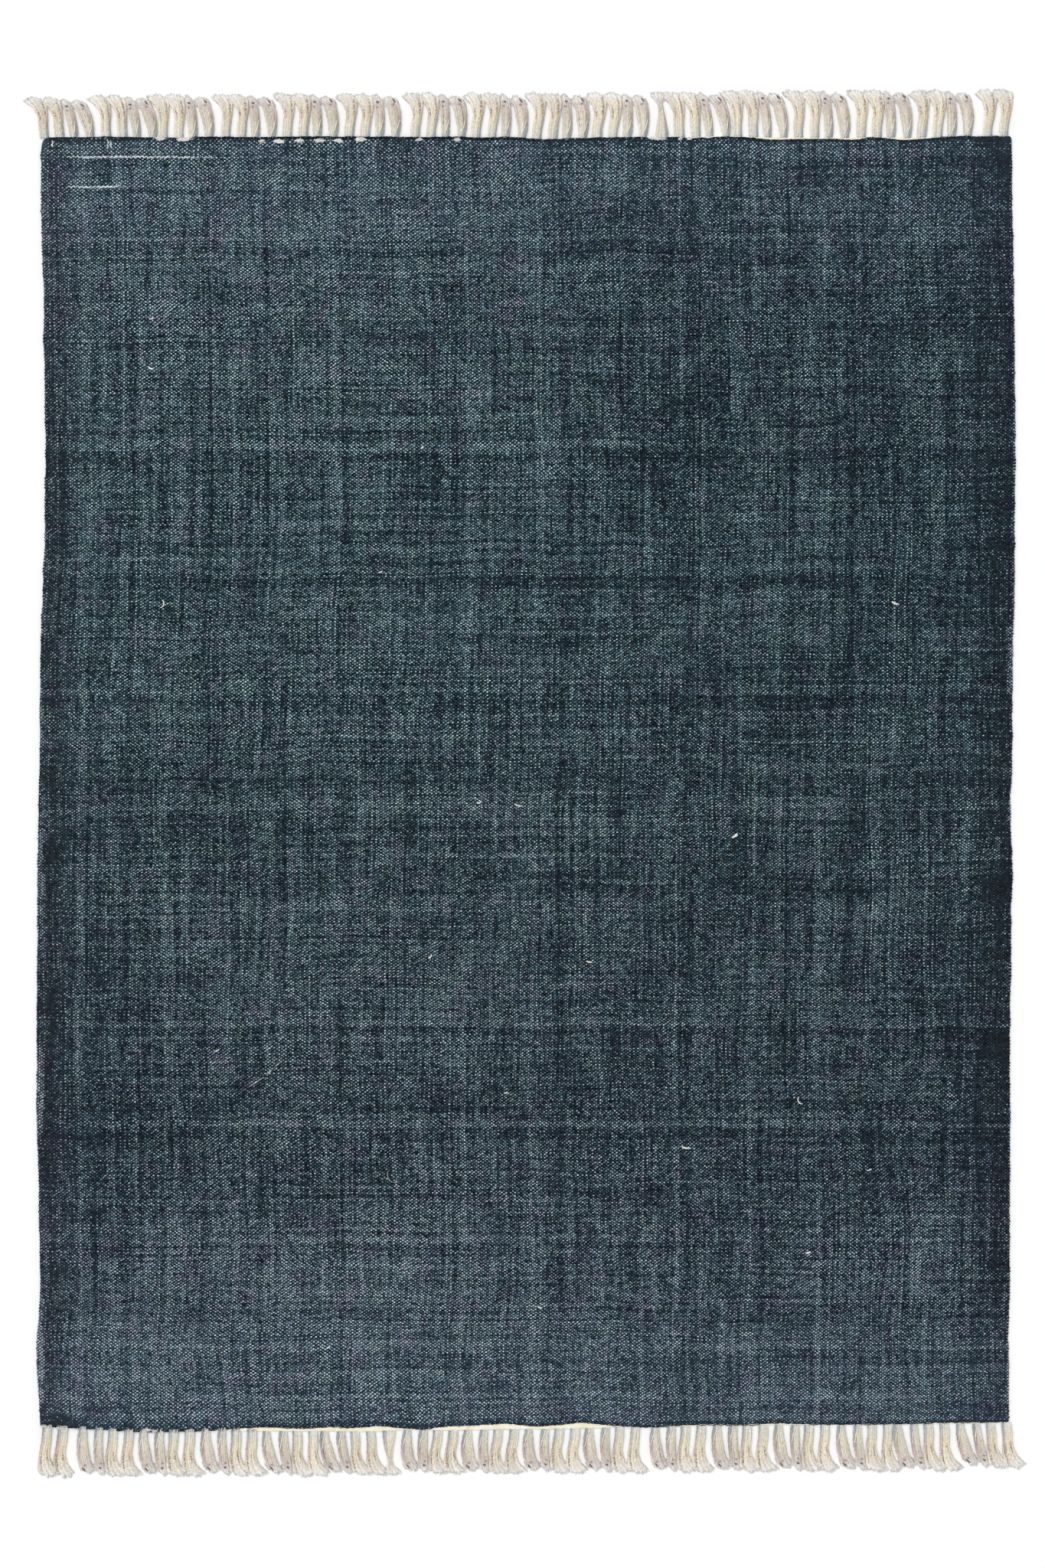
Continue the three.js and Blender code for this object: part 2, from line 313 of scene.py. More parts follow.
# Over and under: 1 on the crown of a warp fleck, -1 on the crown of a weft float. No crossing sits
# quite where it should, and where the threads are dragged askew the flecks run together.
nudged = add_node(tree, "ShaderNodeVectorMath", {0: chance.outputs["Color"], 1: (0.5,) * 3},
                  operation="SUBTRACT")
nudged = add_node(tree, "ShaderNodeVectorMath", {0: nudged, 1: (0.4, 0.4, 0), 2: wander},
                  operation="MULTIPLY_ADD")
nudged = add_node(tree, "ShaderNodeVectorMath", {0: nudged, "Scale": math.pi}, operation="SCALE")
nudged = add_node(tree, "ShaderNodeSeparateXYZ", {0: nudged})
crowns, slopes = (
    add_node(tree, "ShaderNodeMath",
             {0: add_node(tree, "ShaderNodeMath", {0: nudged.outputs[0]}, operation=wave),
              1: add_node(tree, "ShaderNodeMath", {0: nudged.outputs[1]}, operation=wave)},
             operation="MULTIPLY")
    for wave in ("COSINE", "SINE")
)
drag = add_node(tree, "ShaderNodeTexNoise", {"Vector": place, "Scale": 24.0, "Detail": 1.0})
drag = add_node(tree, "ShaderNodeMapRange",
                {"Value": drag, "From Min": 0.35, "From Max": 0.65, "To Min": -0.25, "To Max": 0.35})
over = add_node(tree, "ShaderNodeMath", {0: slopes, 1: drag, 2: crowns}, operation="MULTIPLY_ADD")
plump = add_node(tree, "ShaderNodeMapRange",
                 {"Value": parts.outputs[2], "To Min": 0.62, "To Max": 1.2})
fleck = add_node(tree, "ShaderNodeMath", {0: over, 1: plump}, operation="MULTIPLY")
fleck = add_node(tree, "ShaderNodeMapRange",
                 {"Value": fleck, "From Min": 0.16, "From Max": 0.88},
                 interpolation_type="SMOOTHSTEP")

# How much each thread took the wear: from one crossing to the next, in streaks along single warps
# and picks, and in blotches. Each part of it, and of the folds' painted light and shade further on,
# is shifted to swing about even wear, and weighted.
wear_and_fold_shade_parts = [(parts.outputs[0], -0.5, 1.55)]
for scale, detail, weight in (
    ((0.9, 0.014, 0), 0.0, 1.6), ((0.01, 0.9, 0), 0.0, 1.6),
    ((0.8, 0.004, 0), 0.0, 1.5), ((0.003, 0.8, 0), 0.0, 1.5),
    ((0.55, 0.5, 0), 1.0, 2.2), ((0.22, 0.2, 0), 2.0, 1.6), ((0.07, 0.05, 0), 2.0, 1.3),
    ((0.02, 0.016, 0), 2.0, 0.9),
):
    spot = add_node(tree, "ShaderNodeVectorMath", {0: crossing, 1: scale}, operation="MULTIPLY")
    noise = add_node(tree, "ShaderNodeTexNoise",
                     {"Vector": spot, "Scale": 1.0, "Detail": detail}, noise_dimensions="2D")
    wear_and_fold_shade_parts.append((noise, -0.5, weight))

# The folds, with their wear and their painted highlights and shadows, the worn warps, and a broad
# drift: palest towards the head's left corner and the foot, darkest along the right selvedge. One
# ramp has room for 32 stops, so the rows of each table are dealt out over several.
RAMPS = 4
share = add_node(tree, "ShaderNodeVectorMath", {0: wander, 1: threads}, operation="SUBTRACT")
sheet_place = add_node(tree, "ShaderNodeUVMap", uv_map="OFBake")
share = add_node(tree, "ShaderNodeVectorMath",
                 {0: share, 1: (1 / WARP_ENDS, 1 / PICKS, 0), 2: sheet_place},
                 operation="MULTIPLY_ADD")
share = add_node(tree, "ShaderNodeSeparateXYZ", {0: share})
for table, key, axis, length, weight in (
    (FOLD_WEAR_AND_SHADE, "along", 1, CLOTH_LENGTH, 1.8),
    (WORN_WARPS, "across", 0, CLOTH_WIDTH, 1.6),
):
    for first in range(RAMPS):
        stops = bands(table[first::RAMPS], key, length)
        band = add_node(tree, "ShaderNodeValToRGB", {"Fac": share.outputs[axis]}, stops)
        band.color_ramp.interpolation = "EASE"
        wear_and_fold_shade_parts.append((band, -0.5, weight))
across = add_node(tree, "ShaderNodeValToRGB", {"Fac": share.outputs[0]}, [
    (0.03, 0.5), (0.1, 0.56), (0.35, 0.54), (0.45, 0.52), (0.6, 0.46), (0.85, 0.45), (0.98, 0.4)])
along = add_node(tree, "ShaderNodeValToRGB", {"Fac": share.outputs[1]}, [
    (0, 0.7), (0.013, 0.67), (0.03, 0.62), (0.09, 0.6), (0.14, 0.52), (0.2, 0.45), (0.3, 0.44),
    (0.6, 0.46), (0.75, 0.5), (0.9, 0.54), (0.975, 0.58), (0.99, 0.63), (1, 0.65)])

# Patches where the dye stayed dark, or washed out, and the pale lengths of selvedge.
LAST_WARP = 698  # from the rug's middle
stray = add_node(tree, "ShaderNodeVectorMath", {0: shiver.outputs["Color"], 1: (0.5,) * 3},
                 operation="SUBTRACT")
stray = add_node(tree, "ShaderNodeVectorMath", {0: stray, "Scale": 1.4}, operation="SCALE")
pale_edges = [
    dict(row, across=-LAST_WARP if row["side"] == "left" else LAST_WARP, wide=6.5,
         wear=2.8 * row["wear"])
    for row in WORN_EDGES
]
for row in PATCHES + pale_edges:
    away = add_node(tree, "ShaderNodeVectorMath",
                    {0: place, 1: (row["across"] * MM, row["along"] * MM, 0)}, operation="SUBTRACT")
    away = add_node(tree, "ShaderNodeVectorMath",
                    {0: away, 1: (1 / (row["wide"] * MM), 1 / (row["long"] * MM), 0), 2: stray},
                    operation="MULTIPLY_ADD")
    away = add_node(tree, "ShaderNodeVectorMath", {0: away, 1: (1, 1, 0)}, operation="MULTIPLY")
    away = add_node(tree, "ShaderNodeVectorMath", {0: away}, operation="LENGTH")
    patch = add_node(tree, "ShaderNodeMapRange",
                     {"Value": away.outputs["Value"], "From Min": 1.0, "From Max": 0.2, "To Min": 0.0,
                      "To Max": row["wear"]}, interpolation_type="SMOOTHSTEP")
    wear_and_fold_shade_parts.append((patch, 0.0, 1.0))

# The outermost threads are beaten hard and stay dark, all but the last warp.
edge = add_node(tree, "ShaderNodeVectorMath",
                {0: threads, 1: (1 / WARP_ENDS, 1 / PICKS, 0)}, operation="MULTIPLY")
edge = add_node(tree, "ShaderNodeSeparateXYZ", {0: edge})
side_rim = add_node(tree, "ShaderNodeValToRGB", {"Fac": edge.outputs[0]}, [
    (0, 0.5), (0.0018, 0.5), (0.004, 0.4), (0.014, 0.4), (0.024, 0.44), (0.036, 0.5), (0.94, 0.5),
    (0.97, 0.4), (0.985, 0.3), (0.997, 0.25), (0.998, 0.5)])
end_rim = add_node(tree, "ShaderNodeValToRGB", {"Fac": edge.outputs[1]}, [
    (0, 0.0), (0.0006, 0.1), (0.0014, 0.45), (0.01, 0.5), (0.992, 0.5), (0.9975, 0.42), (0.9985, 0.0),
    (1, 0.0)])
wear_and_fold_shade_parts += [(across, -0.5, 3.0), (along, -0.5, 3.0), (side_rim, -0.5, 3.5),
               (end_rim, -0.5, 4.0)]
OVERALL_WEAR = -0.04  # the cloth as a whole, against even wear
wear = OVERALL_WEAR
for part, shift_by, weight in wear_and_fold_shade_parts:
    shifted = add_node(tree, "ShaderNodeMath", {0: part, 1: shift_by}, operation="ADD")
    wear = add_node(tree, "ShaderNodeMath", {0: shifted, 1: weight, 2: wear},
                    operation="MULTIPLY_ADD")

# The wear, with the folds' painted light and shade summed into it, pales or darkens the flecks most,
# and the blue floats a little. Near the selvedges and the ends the floats have faded all over.
pale = add_node(tree, "ShaderNodeMapRange",
                {"Value": wear, "From Min": -1.75, "From Max": 1.5})
fleck_colour = add_node(tree, "ShaderNodeValToRGB", {"Fac": pale}, [
    (0, "#26323a"), (0.25, "#53676f"), (0.5, "#9fb1b8"), (0.75, "#cddee2"), (1, "#f6fdfc")])
float_colour = add_node(tree, "ShaderNodeValToRGB", {"Fac": pale}, [
    (0, "#1b2129"), (0.3, "#17232b"), (0.65, "#1c2f38"), (1, "#40545c")])
uneven_dye = add_node(tree, "ShaderNodeMapRange",
                      {"Value": parts.outputs[1], "To Min": 0.15, "To Max": 1.5})
float_colour = add_node(tree, "ShaderNodeVectorMath", {0: float_colour, "Scale": uneven_dye},
                        operation="SCALE")
for axis, stops in (
    (0, [(0, "#15191a"), (0.02, "#12171a"), (0.05, "#080c0f"), (0.1, "#000000"),
         (0.92, "#000000"), (0.97, "#080c0e"), (1, "#0d1113")]),
    (1, [(0, "#1b2226"), (0.013, "#1a2024"), (0.02, "#10161a"), (0.06, "#0d1316"),
         (0.1, "#000000"), (0.9, "#000000"), (0.93, "#0a0e11"), (0.96, "#0d1215"),
         (0.985, "#12171b"), (0.99, "#171c20"), (1, "#191e22")]),
):
    faded = add_node(tree, "ShaderNodeValToRGB", {"Fac": edge.outputs[axis]}, stops)
    float_colour = add_node(tree, "ShaderNodeVectorMath", {0: float_colour, 1: faded},
                            operation="ADD")
colour = add_node(tree, "ShaderNodeMix",
                  {"Factor": fleck, "A": float_colour, "B": fleck_colour}, data_type="RGBA")

# The dye drifts between a greenish and a purplish blue from one patch to the next, and is browner
# along the selvedges.
drift = add_node(tree, "ShaderNodeTexNoise", {"Vector": place, "Scale": 26.0, "Detail": 3.0})
tint = add_node(tree, "ShaderNodeValToRGB", {"Fac": drift}, [
    (0.3, "#ffebf4"), (0.5, "#f8fdfd"), (0.7, "#fbfff5")])
side_tint = add_node(tree, "ShaderNodeValToRGB", {"Fac": edge.outputs[0]}, [
    (0, "#fff0f1"), (0.013, "#fff2f4"), (0.03, "#fffbfc"), (0.06, "#ffffff"), (0.95, "#ffffff"),
    (0.985, "#fff8f9"), (1, "#fff3f3")])
length_tint = add_node(tree, "ShaderNodeValToRGB", {"Fac": edge.outputs[1]}, [
    (0.03, "#f5f4ff"), (0.19, "#f8f6ff"), (0.31, "#f8f9ff"), (0.5, "#f6fcff"), (0.68, "#f0faff"),
    (0.81, "#f3faff"), (0.95, "#f1f5ff")])
for layer in (tint, side_tint, length_tint):
    colour = add_node(tree, "ShaderNodeMix", {"Factor": 1.0, "A": colour, "B": layer},
                      data_type="RGBA", blend_type="MULTIPLY")

crown = add_node(tree, "ShaderNodeMath", {0: over}, operation="ABSOLUTE")
lumps = add_node(tree, "ShaderNodeTexNoise", {"Vector": place, "Scale": 900.0, "Detail": 1.0})
height = add_node(tree, "ShaderNodeMath", {0: lumps, 1: 0.35, 2: crown}, operation="MULTIPLY_ADD")
relief = add_node(tree, "ShaderNodeBump", {"Height": height, "Strength": 0.5, "Distance": 0.5 * MM})
finish_cotton(tree, colour, {"Roughness": 0.9, "Specular IOR Level": 0.05, "Sheen Weight": 0.01,
                             "Sheen Roughness": 0.5, "Normal": relief})

# The sheet is a grid that follows the threads, closed round its rim. Its two faces share their
# maps, because a plain weave looks the same from below.
GRID_ACROSS = 6.4
GRID_ALONG = 9
MAP_MARGIN = 0.001
x_steps = even_steps(CLOTH_WIDTH, GRID_ACROSS, [0, 0.5, 1.4, 3, 6])
y_steps = even_steps(CLOTH_LENGTH, GRID_ALONG, [0, 0.5, 1.4, 3, 7])
grid_x, grid_y = np.meshgrid(x_steps - CLOTH_WIDTH / 2, y_steps - CLOTH_LENGTH / 2)
in_x = np.minimum(x_steps, CLOTH_WIDTH - x_steps)[None, :]
in_y = np.minimum(y_steps, CLOTH_LENGTH - y_steps)[:, None]
fullness = np.sqrt(1 - (1 - np.clip(np.minimum(in_x, in_y) / RIM, 0, 1)) ** 2)

sheet_x, sheet_y = grid_x, grid_y
for name, radius in CORNERS.items():
    sheet_x, sheet_y = rounded_corner(sheet_x, sheet_y, "right" in name, "head" in name, radius)
half = grid_x / CLOTH_WIDTH + 0.5
sheet_x = (
    sheet_x
    + (1 - half) * read_off(SELVEDGES, "along", "left", grid_y)
    + half * read_off(SELVEDGES, "along", "right", grid_y)
    + np.exp(-in_x / 8) * np.where(half < 0.5, ragged("left", grid_y), ragged("right", grid_y))
)
to_head, to_foot = CLOTH_LENGTH / 2 - grid_y, CLOTH_LENGTH / 2 + grid_y
sheet_y = (
    sheet_y
    + head_line(grid_x) * np.exp(-to_head / 12)
    - read_off(FOOT_END, "across", "out", grid_x) * np.exp(-to_foot / 25)
)

lift = 0.45 + 0.45 * waves(3, 9, 170, sheet_x, sheet_y)
for row in (row for row in FOLD_WEAR_AND_SHADE if row["wear"] > 0):
    bend = 3 * waves(int(row["along"]) % 97, 3, 500, grid_x, 0 * grid_x)
    ridge = np.exp(-(((sheet_y - row["along"] - bend) / 7) ** 2))
    lift = lift + 0.6 * row["wear"] * ridge * (0.6 + 0.4 * waves(5, 4, 260, grid_x, grid_y))
lift = np.clip(lift, 0, None) * np.clip(np.minimum(in_x, in_y) / 25, 0.15, 1)
top = np.stack([sheet_x, sheet_y, lift + CLOTH_THICK * (1 + fullness) / 2], -1)
bottom = np.stack([sheet_x, sheet_y, lift + CLOTH_THICK * (1 - fullness) / 2], -1)

rows, columns = grid_x.shape
top_at = np.arange(rows * columns).reshape(rows, columns)
bottom_at = top_at.copy()
inside = np.zeros((rows, columns), bool)
inside[1:-1, 1:-1] = True
bottom_at[inside] = rows * columns + np.arange(inside.sum())
quads = []
for at, step in ((top_at, 1), (bottom_at, -1)):
    a, b, c, d = at[:-1, :-1], at[:-1, 1:], at[1:, 1:], at[1:, :-1]
    quads += np.stack([a, b, c, d][::step], -1).reshape(-1, 4).tolist()
cloth_points = np.vstack([top.reshape(-1, 3), bottom[inside]])

low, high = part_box("dhurrie_cloth")
flat = cloth_points[:, :2]
shift = np.array([*((np.array(low) + high)[:2] / 2 / MM - (flat.min(0) + flat.max(0)) / 2), 0])
shift = shift.round(2)
cloth = add_piece("rug_cloth", cloth_points + shift, quads, washed_cotton)
counts = np.stack([threads_to(WARP_GAPS, "across", CLOTH_WIDTH, grid_x),
                   threads_to(PICK_GAPS, "along", CLOTH_LENGTH, grid_y)], -1)
shares = np.stack([half, grid_y / CLOTH_LENGTH + 0.5], -1)
add_map(cloth, "thread_count", np.vstack([counts.reshape(-1, 2), counts[inside]]))
shares = np.vstack([shares.reshape(-1, 2), shares[inside]])
add_map(cloth, "OFBake", shares * (1 - 2 * MAP_MARGIN) + MAP_MARGIN)
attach(cloth, "root")
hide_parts("dhurrie_cloth")

# ---- The weft's turns at the selvedges -------------------------------------------------------
# Each pick of indigo weft turns round the outermost warp and goes back into the shed, so both
# long edges are a row of small cotton loops, with the pale warp glinting between them.
TURN_RADIUS = 0.95
WEFT_RADIUS = 0.75
TURNS_IN = 0.9  # how far in from the selvedge the turns have their middles


def new_rule(name, sizes):
    """A Geometry Nodes tree with named inputs, with its input sockets and its output socket."""
    rule = bpy.data.node_groups.new(name, "GeometryNodeTree")
    rule.interface.new_socket("Geometry", in_out="OUTPUT", socket_type="NodeSocketGeometry")
    rule.interface.new_socket("Geometry", in_out="INPUT", socket_type="NodeSocketGeometry")
    for size, kind in sizes.items():
        rule.interface.new_socket(size, in_out="INPUT", socket_type=f"NodeSocket{kind}")
    return rule, rule.nodes.new("NodeGroupInput").outputs, rule.nodes.new("NodeGroupOutput").inputs[0]


def finish_rule(rule, shape, material, result):
    """Ends a rule in real, smooth geometry of that material."""
    shape = add_node(rule, "GeometryNodeRealizeInstances", {"Geometry": shape})
    shape = add_node(rule, "GeometryNodeSetShadeSmooth", {"Geometry": shape})
    shape = add_node(rule, "GeometryNodeSetMaterial", {"Geometry": shape, "Material": material})
    rule.links.new(shape.outputs[0], result)


def add_guide(points, edges, **facts):
    """A wire mesh for a rule to follow, with facts stored on its points."""
    mesh = bpy.data.meshes.new("guide")
    mesh.from_pydata((np.asarray(points, float) * MM).tolist(), edges, [])
    for name, values in facts.items():
        values = np.asarray(values, np.float32)
        if values.ndim == 1:
            mesh.attributes.new(name, "FLOAT", "POINT").data.foreach_set("value", values)
        else:
            data = mesh.attributes.new(name, "FLOAT_VECTOR", "POINT").data
            data.foreach_set("vector", values.ravel())
    guide = bpy.data.objects.new("guide", mesh)
    bpy.context.collection.objects.link(guide)
    return guide


def make_by(rule, guide, name, sizes):
    """The plain mesh that a rule makes of its guide. The guide goes."""
    modifier = guide.modifiers.new("rule", "NODES")
    modifier.node_group = rule
    for socket in rule.interface.items_tree:
        if socket.in_out == "INPUT" and socket.name in sizes:
            modifier[socket.identifier] = sizes[socket.name]
    guide.update_tag()
    made = guide.evaluated_get(bpy.context.evaluated_depsgraph_get())
    mesh = bpy.data.meshes.new_from_object(made)
    mesh.name = name
    used = [material for material in mesh.materials if material]
    mesh.materials.clear()
    for material in used:
        mesh.materials.append(material)
    mesh.polygons.foreach_set("material_index", [0] * len(mesh.polygons))
    piece = bpy.data.objects.new(name, mesh)
    bpy.context.collection.objects.link(piece)
    guide.modifiers.remove(modifier)
    bpy.data.objects.remove(guide)
    return piece


# Indigo-dyed cotton yarn: as dark as the floats, with the odd turn worn pale.
weft_yarn, tree = new_material("indigo_cotton_weft_yarn")
place = add_node(tree, "ShaderNodeTexCoord").outputs["Object"]
blotch = add_node(tree, "ShaderNodeTexNoise", {"Vector": place, "Scale": 300.0, "Detail": 2.0})
worn = add_node(tree, "ShaderNodeAttribute", attribute_name="worn").outputs["Fac"]
blotch = add_node(tree, "ShaderNodeMath", {0: worn, 1: 0.17, 2: blotch}, operation="MULTIPLY_ADD")
colour = add_node(tree, "ShaderNodeValToRGB", {"Fac": blotch}, [
    (0.35, "#14161e"), (0.55, "#20252f"), (0.64, "#3f4853"), (0.74, "#a7afb2"), (0.84, "#e6eaea")])
finish_cotton(tree, colour, {"Roughness": 0.92, "Specular IOR Level": 0.08, "Sheen Weight": 0.03,
                             "Sheen Roughness": 0.5}, fibres=(1600.0, 0.5, 0.2))

weft_turns, given, result = new_rule("weft turns at a selvedge", {
    "Turn radius": "Float", "Yarn radius": "Float", "Unevenness": "Float", "Seed": "Int",
    "Yarn": "Material"})
half_turn = add_node(weft_turns, "GeometryNodeCurveArc",
                     {"Resolution": 6, "Radius": given["Turn radius"],
                      "Start Angle": -math.pi / 2, "Sweep Angle": math.pi})
yarn = add_node(weft_turns, "GeometryNodeCurvePrimitiveCircle",
                {"Resolution": 6, "Radius": given["Yarn radius"]})
loop = add_node(weft_turns, "GeometryNodeCurveToMesh",
                {"Curve": half_turn, "Profile Curve": yarn, "Fill Caps": True})
facing = add_node(weft_turns, "GeometryNodeInputNamedAttribute", {"Name": "facing"})
lean = add_node(weft_turns, "FunctionNodeRandomValue",
                {"Min": (-0.35, -0.3, -0.12), "Max": (0.35, 0.3, 0.12), "Seed": given["Seed"]},
                data_type="FLOAT_VECTOR")
turned = add_node(weft_turns, "ShaderNodeCombineXYZ", {"Z": facing})
turned = add_node(weft_turns, "ShaderNodeVectorMath", {0: turned, 1: lean}, operation="ADD")
lower = add_node(weft_turns, "ShaderNodeMath", {0: 1.0, 1: given["Unevenness"]},
                 operation="SUBTRACT")
upper = add_node(weft_turns, "ShaderNodeMath", {0: 1.0, 1: given["Unevenness"]}, operation="ADD")
size = add_node(weft_turns, "FunctionNodeRandomValue",
                {"Min": lower, "Max": upper, "Seed": given["Seed"]}, data_type="FLOAT")
loops = add_node(weft_turns, "GeometryNodeInstanceOnPoints",
                 {"Points": given["Geometry"], "Instance": loop, "Rotation": turned,
                  "Scale": size})
finish_rule(weft_turns, loops, given["Yarn"], result)

turn_pitch = 2 * CLOTH_LENGTH / PICKS  # a pick turns at each side in its turn
turn_y = np.arange(-CLOTH_LENGTH / 2 + 12, CLOTH_LENGTH / 2 - 16, turn_pitch)
turn_points, turn_facing, turn_worn = [], [], []
rng = np.random.default_rng(6)
for side, sign in (("left", -1), ("right", 1)):
    turn_x = sign * (CLOTH_WIDTH / 2 - TURNS_IN) + read_off(SELVEDGES, "along", side, turn_y)
    turn_x += ragged(side, turn_y) + rng.normal(0, 0.16, len(turn_y))
    turn_z = np.full_like(turn_y, 0.6 * CLOTH_THICK)
    turn_points.append(np.stack([turn_x, turn_y, turn_z], -1) + shift)
    turn_facing.append(np.full_like(turn_y, 0 if sign > 0 else math.pi))
    turn_worn.append(sum(
        row["wear"] * np.exp(-(((turn_y - row["along"]) / row["long"]) ** 4))
        for row in WORN_EDGES if row["side"] == side
    ))
turn_points = np.vstack(turn_points)
selvedge_turns = make_by(
    weft_turns,
    add_guide(turn_points, [], facing=np.concatenate(turn_facing), worn=np.concatenate(turn_worn)),
    "selvedge_turns",
    {"Turn radius": TURN_RADIUS * MM, "Yarn radius": WEFT_RADIUS * MM, "Unevenness": 0.25,
     "Seed": 4, "Yarn": weft_yarn},
)
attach(selvedge_turns, "root")

# ---- The last picks --------------------------------------------------------------------------
# The first and last picks are thicker indigo yarns, beaten so close that they hide the warp. They
# make a dark rim, one to three picks deep at the head and one deep at the foot.
END_PICK_RADIUS = 0.8
# Which end, how far in from it, where the pick shows, and how ragged it is.
END_PICKS = table_of("end back start stop ragged",
    ("head", 0.5, -682, 688, 0.15), ("head", 1.8, -480, 40, 0.1), ("head", 3.1, -400, 20, 0.1),
    ("head", 1.8, 60, 120, 0.1), ("head", 1.8, 212, 420, 0.1), ("foot", 0.5, -686, 690, 0.35))

plied_yarn, given, result = new_rule("plied yarn along its guide", {
    "Yarn radius": "Float", "Sides": "Int", "Ply relief": "Float", "Turns per metre": "Float",
    "Seed": "Int", "Yarn": "Material"})
line = add_node(plied_yarn, "GeometryNodeMeshToCurve", {"Mesh": given["Geometry"]})
run = add_node(plied_yarn, "GeometryNodeSplineParameter").outputs["Length"]
twist = add_node(plied_yarn, "ShaderNodeMath", {0: run, 1: given["Turns per metre"]},
                 operation="MULTIPLY")
curve_number = add_node(plied_yarn, "GeometryNodeCurveOfPoint").outputs["Curve Index"]
phase = add_node(plied_yarn, "FunctionNodeRandomValue",
                 {"ID": curve_number, "Seed": given["Seed"]}, data_type="FLOAT")
twist = add_node(plied_yarn, "ShaderNodeMath", {0: twist, 1: phase}, operation="ADD")
twist = add_node(plied_yarn, "ShaderNodeMath", {0: twist, 1: 2 * math.pi}, operation="MULTIPLY")
line = add_node(plied_yarn, "GeometryNodeSetCurveTilt", {"Curve": line, "Tilt": twist})
section = add_node(plied_yarn, "GeometryNodeCurvePrimitiveCircle",
                   {"Resolution": given["Sides"], "Radius": given["Yarn radius"]})
corner = add_node(plied_yarn, "GeometryNodeInputPosition")
parts = add_node(plied_yarn, "ShaderNodeSeparateXYZ", {0: corner})
square = add_node(plied_yarn, "ShaderNodeMath", {0: parts.outputs[0], 1: given["Yarn radius"]},
                  operation="DIVIDE")
square = add_node(plied_yarn, "ShaderNodeMath", {0: square, 1: square}, operation="MULTIPLY")
swell = add_node(plied_yarn, "ShaderNodeMath",
                 {0: square, 1: given["Ply relief"], 2: 1.0}, operation="MULTIPLY_ADD")
swollen = add_node(plied_yarn, "ShaderNodeVectorMath", {0: corner, "Scale": swell},
                   operation="SCALE")
section = add_node(plied_yarn, "GeometryNodeSetPosition",
                   {"Geometry": section, "Position": swollen})
girth = add_node(plied_yarn, "GeometryNodeInputNamedAttribute", {"Name": "girth"})
tube = add_node(plied_yarn, "GeometryNodeCurveToMesh",
                {"Curve": line, "Profile Curve": section, "Scale": girth, "Fill Caps": True})
flatness = add_node(plied_yarn, "GeometryNodeInputNamedAttribute", {"Name": "flatness"})
pressed = add_node(plied_yarn, "ShaderNodeMath", {0: 1.0, 1: flatness}, operation="SUBTRACT")
pressed = add_node(plied_yarn, "ShaderNodeCombineXYZ", {"X": 1.0, "Y": 1.0, "Z": pressed})
pressed = add_node(plied_yarn, "ShaderNodeVectorMath", {0: corner, 1: pressed},
                   operation="MULTIPLY")
tube = add_node(plied_yarn, "GeometryNodeSetPosition", {"Geometry": tube, "Position": pressed})
finish_rule(plied_yarn, tube, given["Yarn"], result)


def end_frame(points, end):
    """Points seen with their end of the rug upwards, put where that end lies in the part's frame."""
    points = np.array(points, float)
    if end == "foot":
        points[..., :2] *= -1
    return points + shift


def cloth_end(end, x):
    """How far the cloth reaches at x, seen with that end upwards."""
    if end == "head":
        return CLOTH_LENGTH / 2 + head_line(x)
    return CLOTH_LENGTH / 2 + read_off(FOOT_END, "across", "out", -x)


def add_strands(name, end, strands, material, sides):
    """A piece made of strands, each with its path and its facts, by the rule for yarns."""
    points = np.concatenate([path for path, _ in strands])
    facts = {key: np.concatenate([facts[key] for _, facts in strands]) for key in strands[0][1]}
    ends = np.cumsum([len(path) for path, _ in strands])
    edges = [(i, i + 1) for i in sorted(set(range(ends[-1])) - set((ends - 1).tolist()))]
    guide = add_guide(end_frame(points, end), edges, **facts)
    piece = make_by(plied_yarn, guide, name, {
        "Yarn radius": MM, "Sides": sides, "Ply relief": -0.22, "Turns per metre": 55.0, "Seed": 5,
        "Yarn": material})
    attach(piece, "root")
    return piece


for end, seed in (("head", 51), ("foot", 52)):
    rng = np.random.default_rng(seed)
    strands = []
    for row in (row for row in END_PICKS if row["end"] == end):
        x = np.arange(row["start"], row["stop"], 3.0)
        if end == "foot":
            x = -x[::-1]
        scallop = 0.7 * np.convolve(rng.normal(0, 1, len(x) + 4), np.ones(5) / 5, "valid")
        y = cloth_end(end, x) - row["back"] + scallop + rng.normal(0, row["ragged"], len(x))
        corner = np.minimum(x - x[0], x[-1] - x)
        y -= 4 * np.clip(1 - corner / 6, 0, 1) ** 2
        z = CLOTH_THICK - 0.1 + 0.25 * (row["back"] > 1) + rng.normal(0, 0.08, len(x))
        girth = END_PICK_RADIUS * np.interp(corner, [0, 6], [0.6, 1]) * rng.uniform(0.85, 1.15, len(x))
        strands.append((np.stack([x, y, z], -1), dict(girth=girth)))
    piece = add_strands(f"end_picks_{end}", end, strands, weft_yarn, sides=6)

# ---- The headings ----------------------------------------------------------------------------
# Twined rows of undyed cotton lock the last pick at each end. At the foot the cloth's end wavers
# away from them, so they show there as a cream band of varying width; at the head they are a line.
HEADING_HIGH = 3.2
TWINE_PITCH = 4.2  # from one twist of the twining to the next
# How far the heading's outer side stands out from the head's straight line.
HEAD_CORD = table_of("across out",
    (-689, 0.4), (-540, 1.4), (-480, 0.6), (-300, 1.2), (-100, 1), (29, -1.6), (170, 0.6),
    (200, 0.8), (225, 1.6), (240, 2.4), (274, 3.8), (310, 3.7), (345, 2.4), (400, 1.9), (475, 1.7),
    (500, 3.4), (530, 1.9), (560, 1.7), (605, 3.2), (640, 2.4), (691, 2.4))
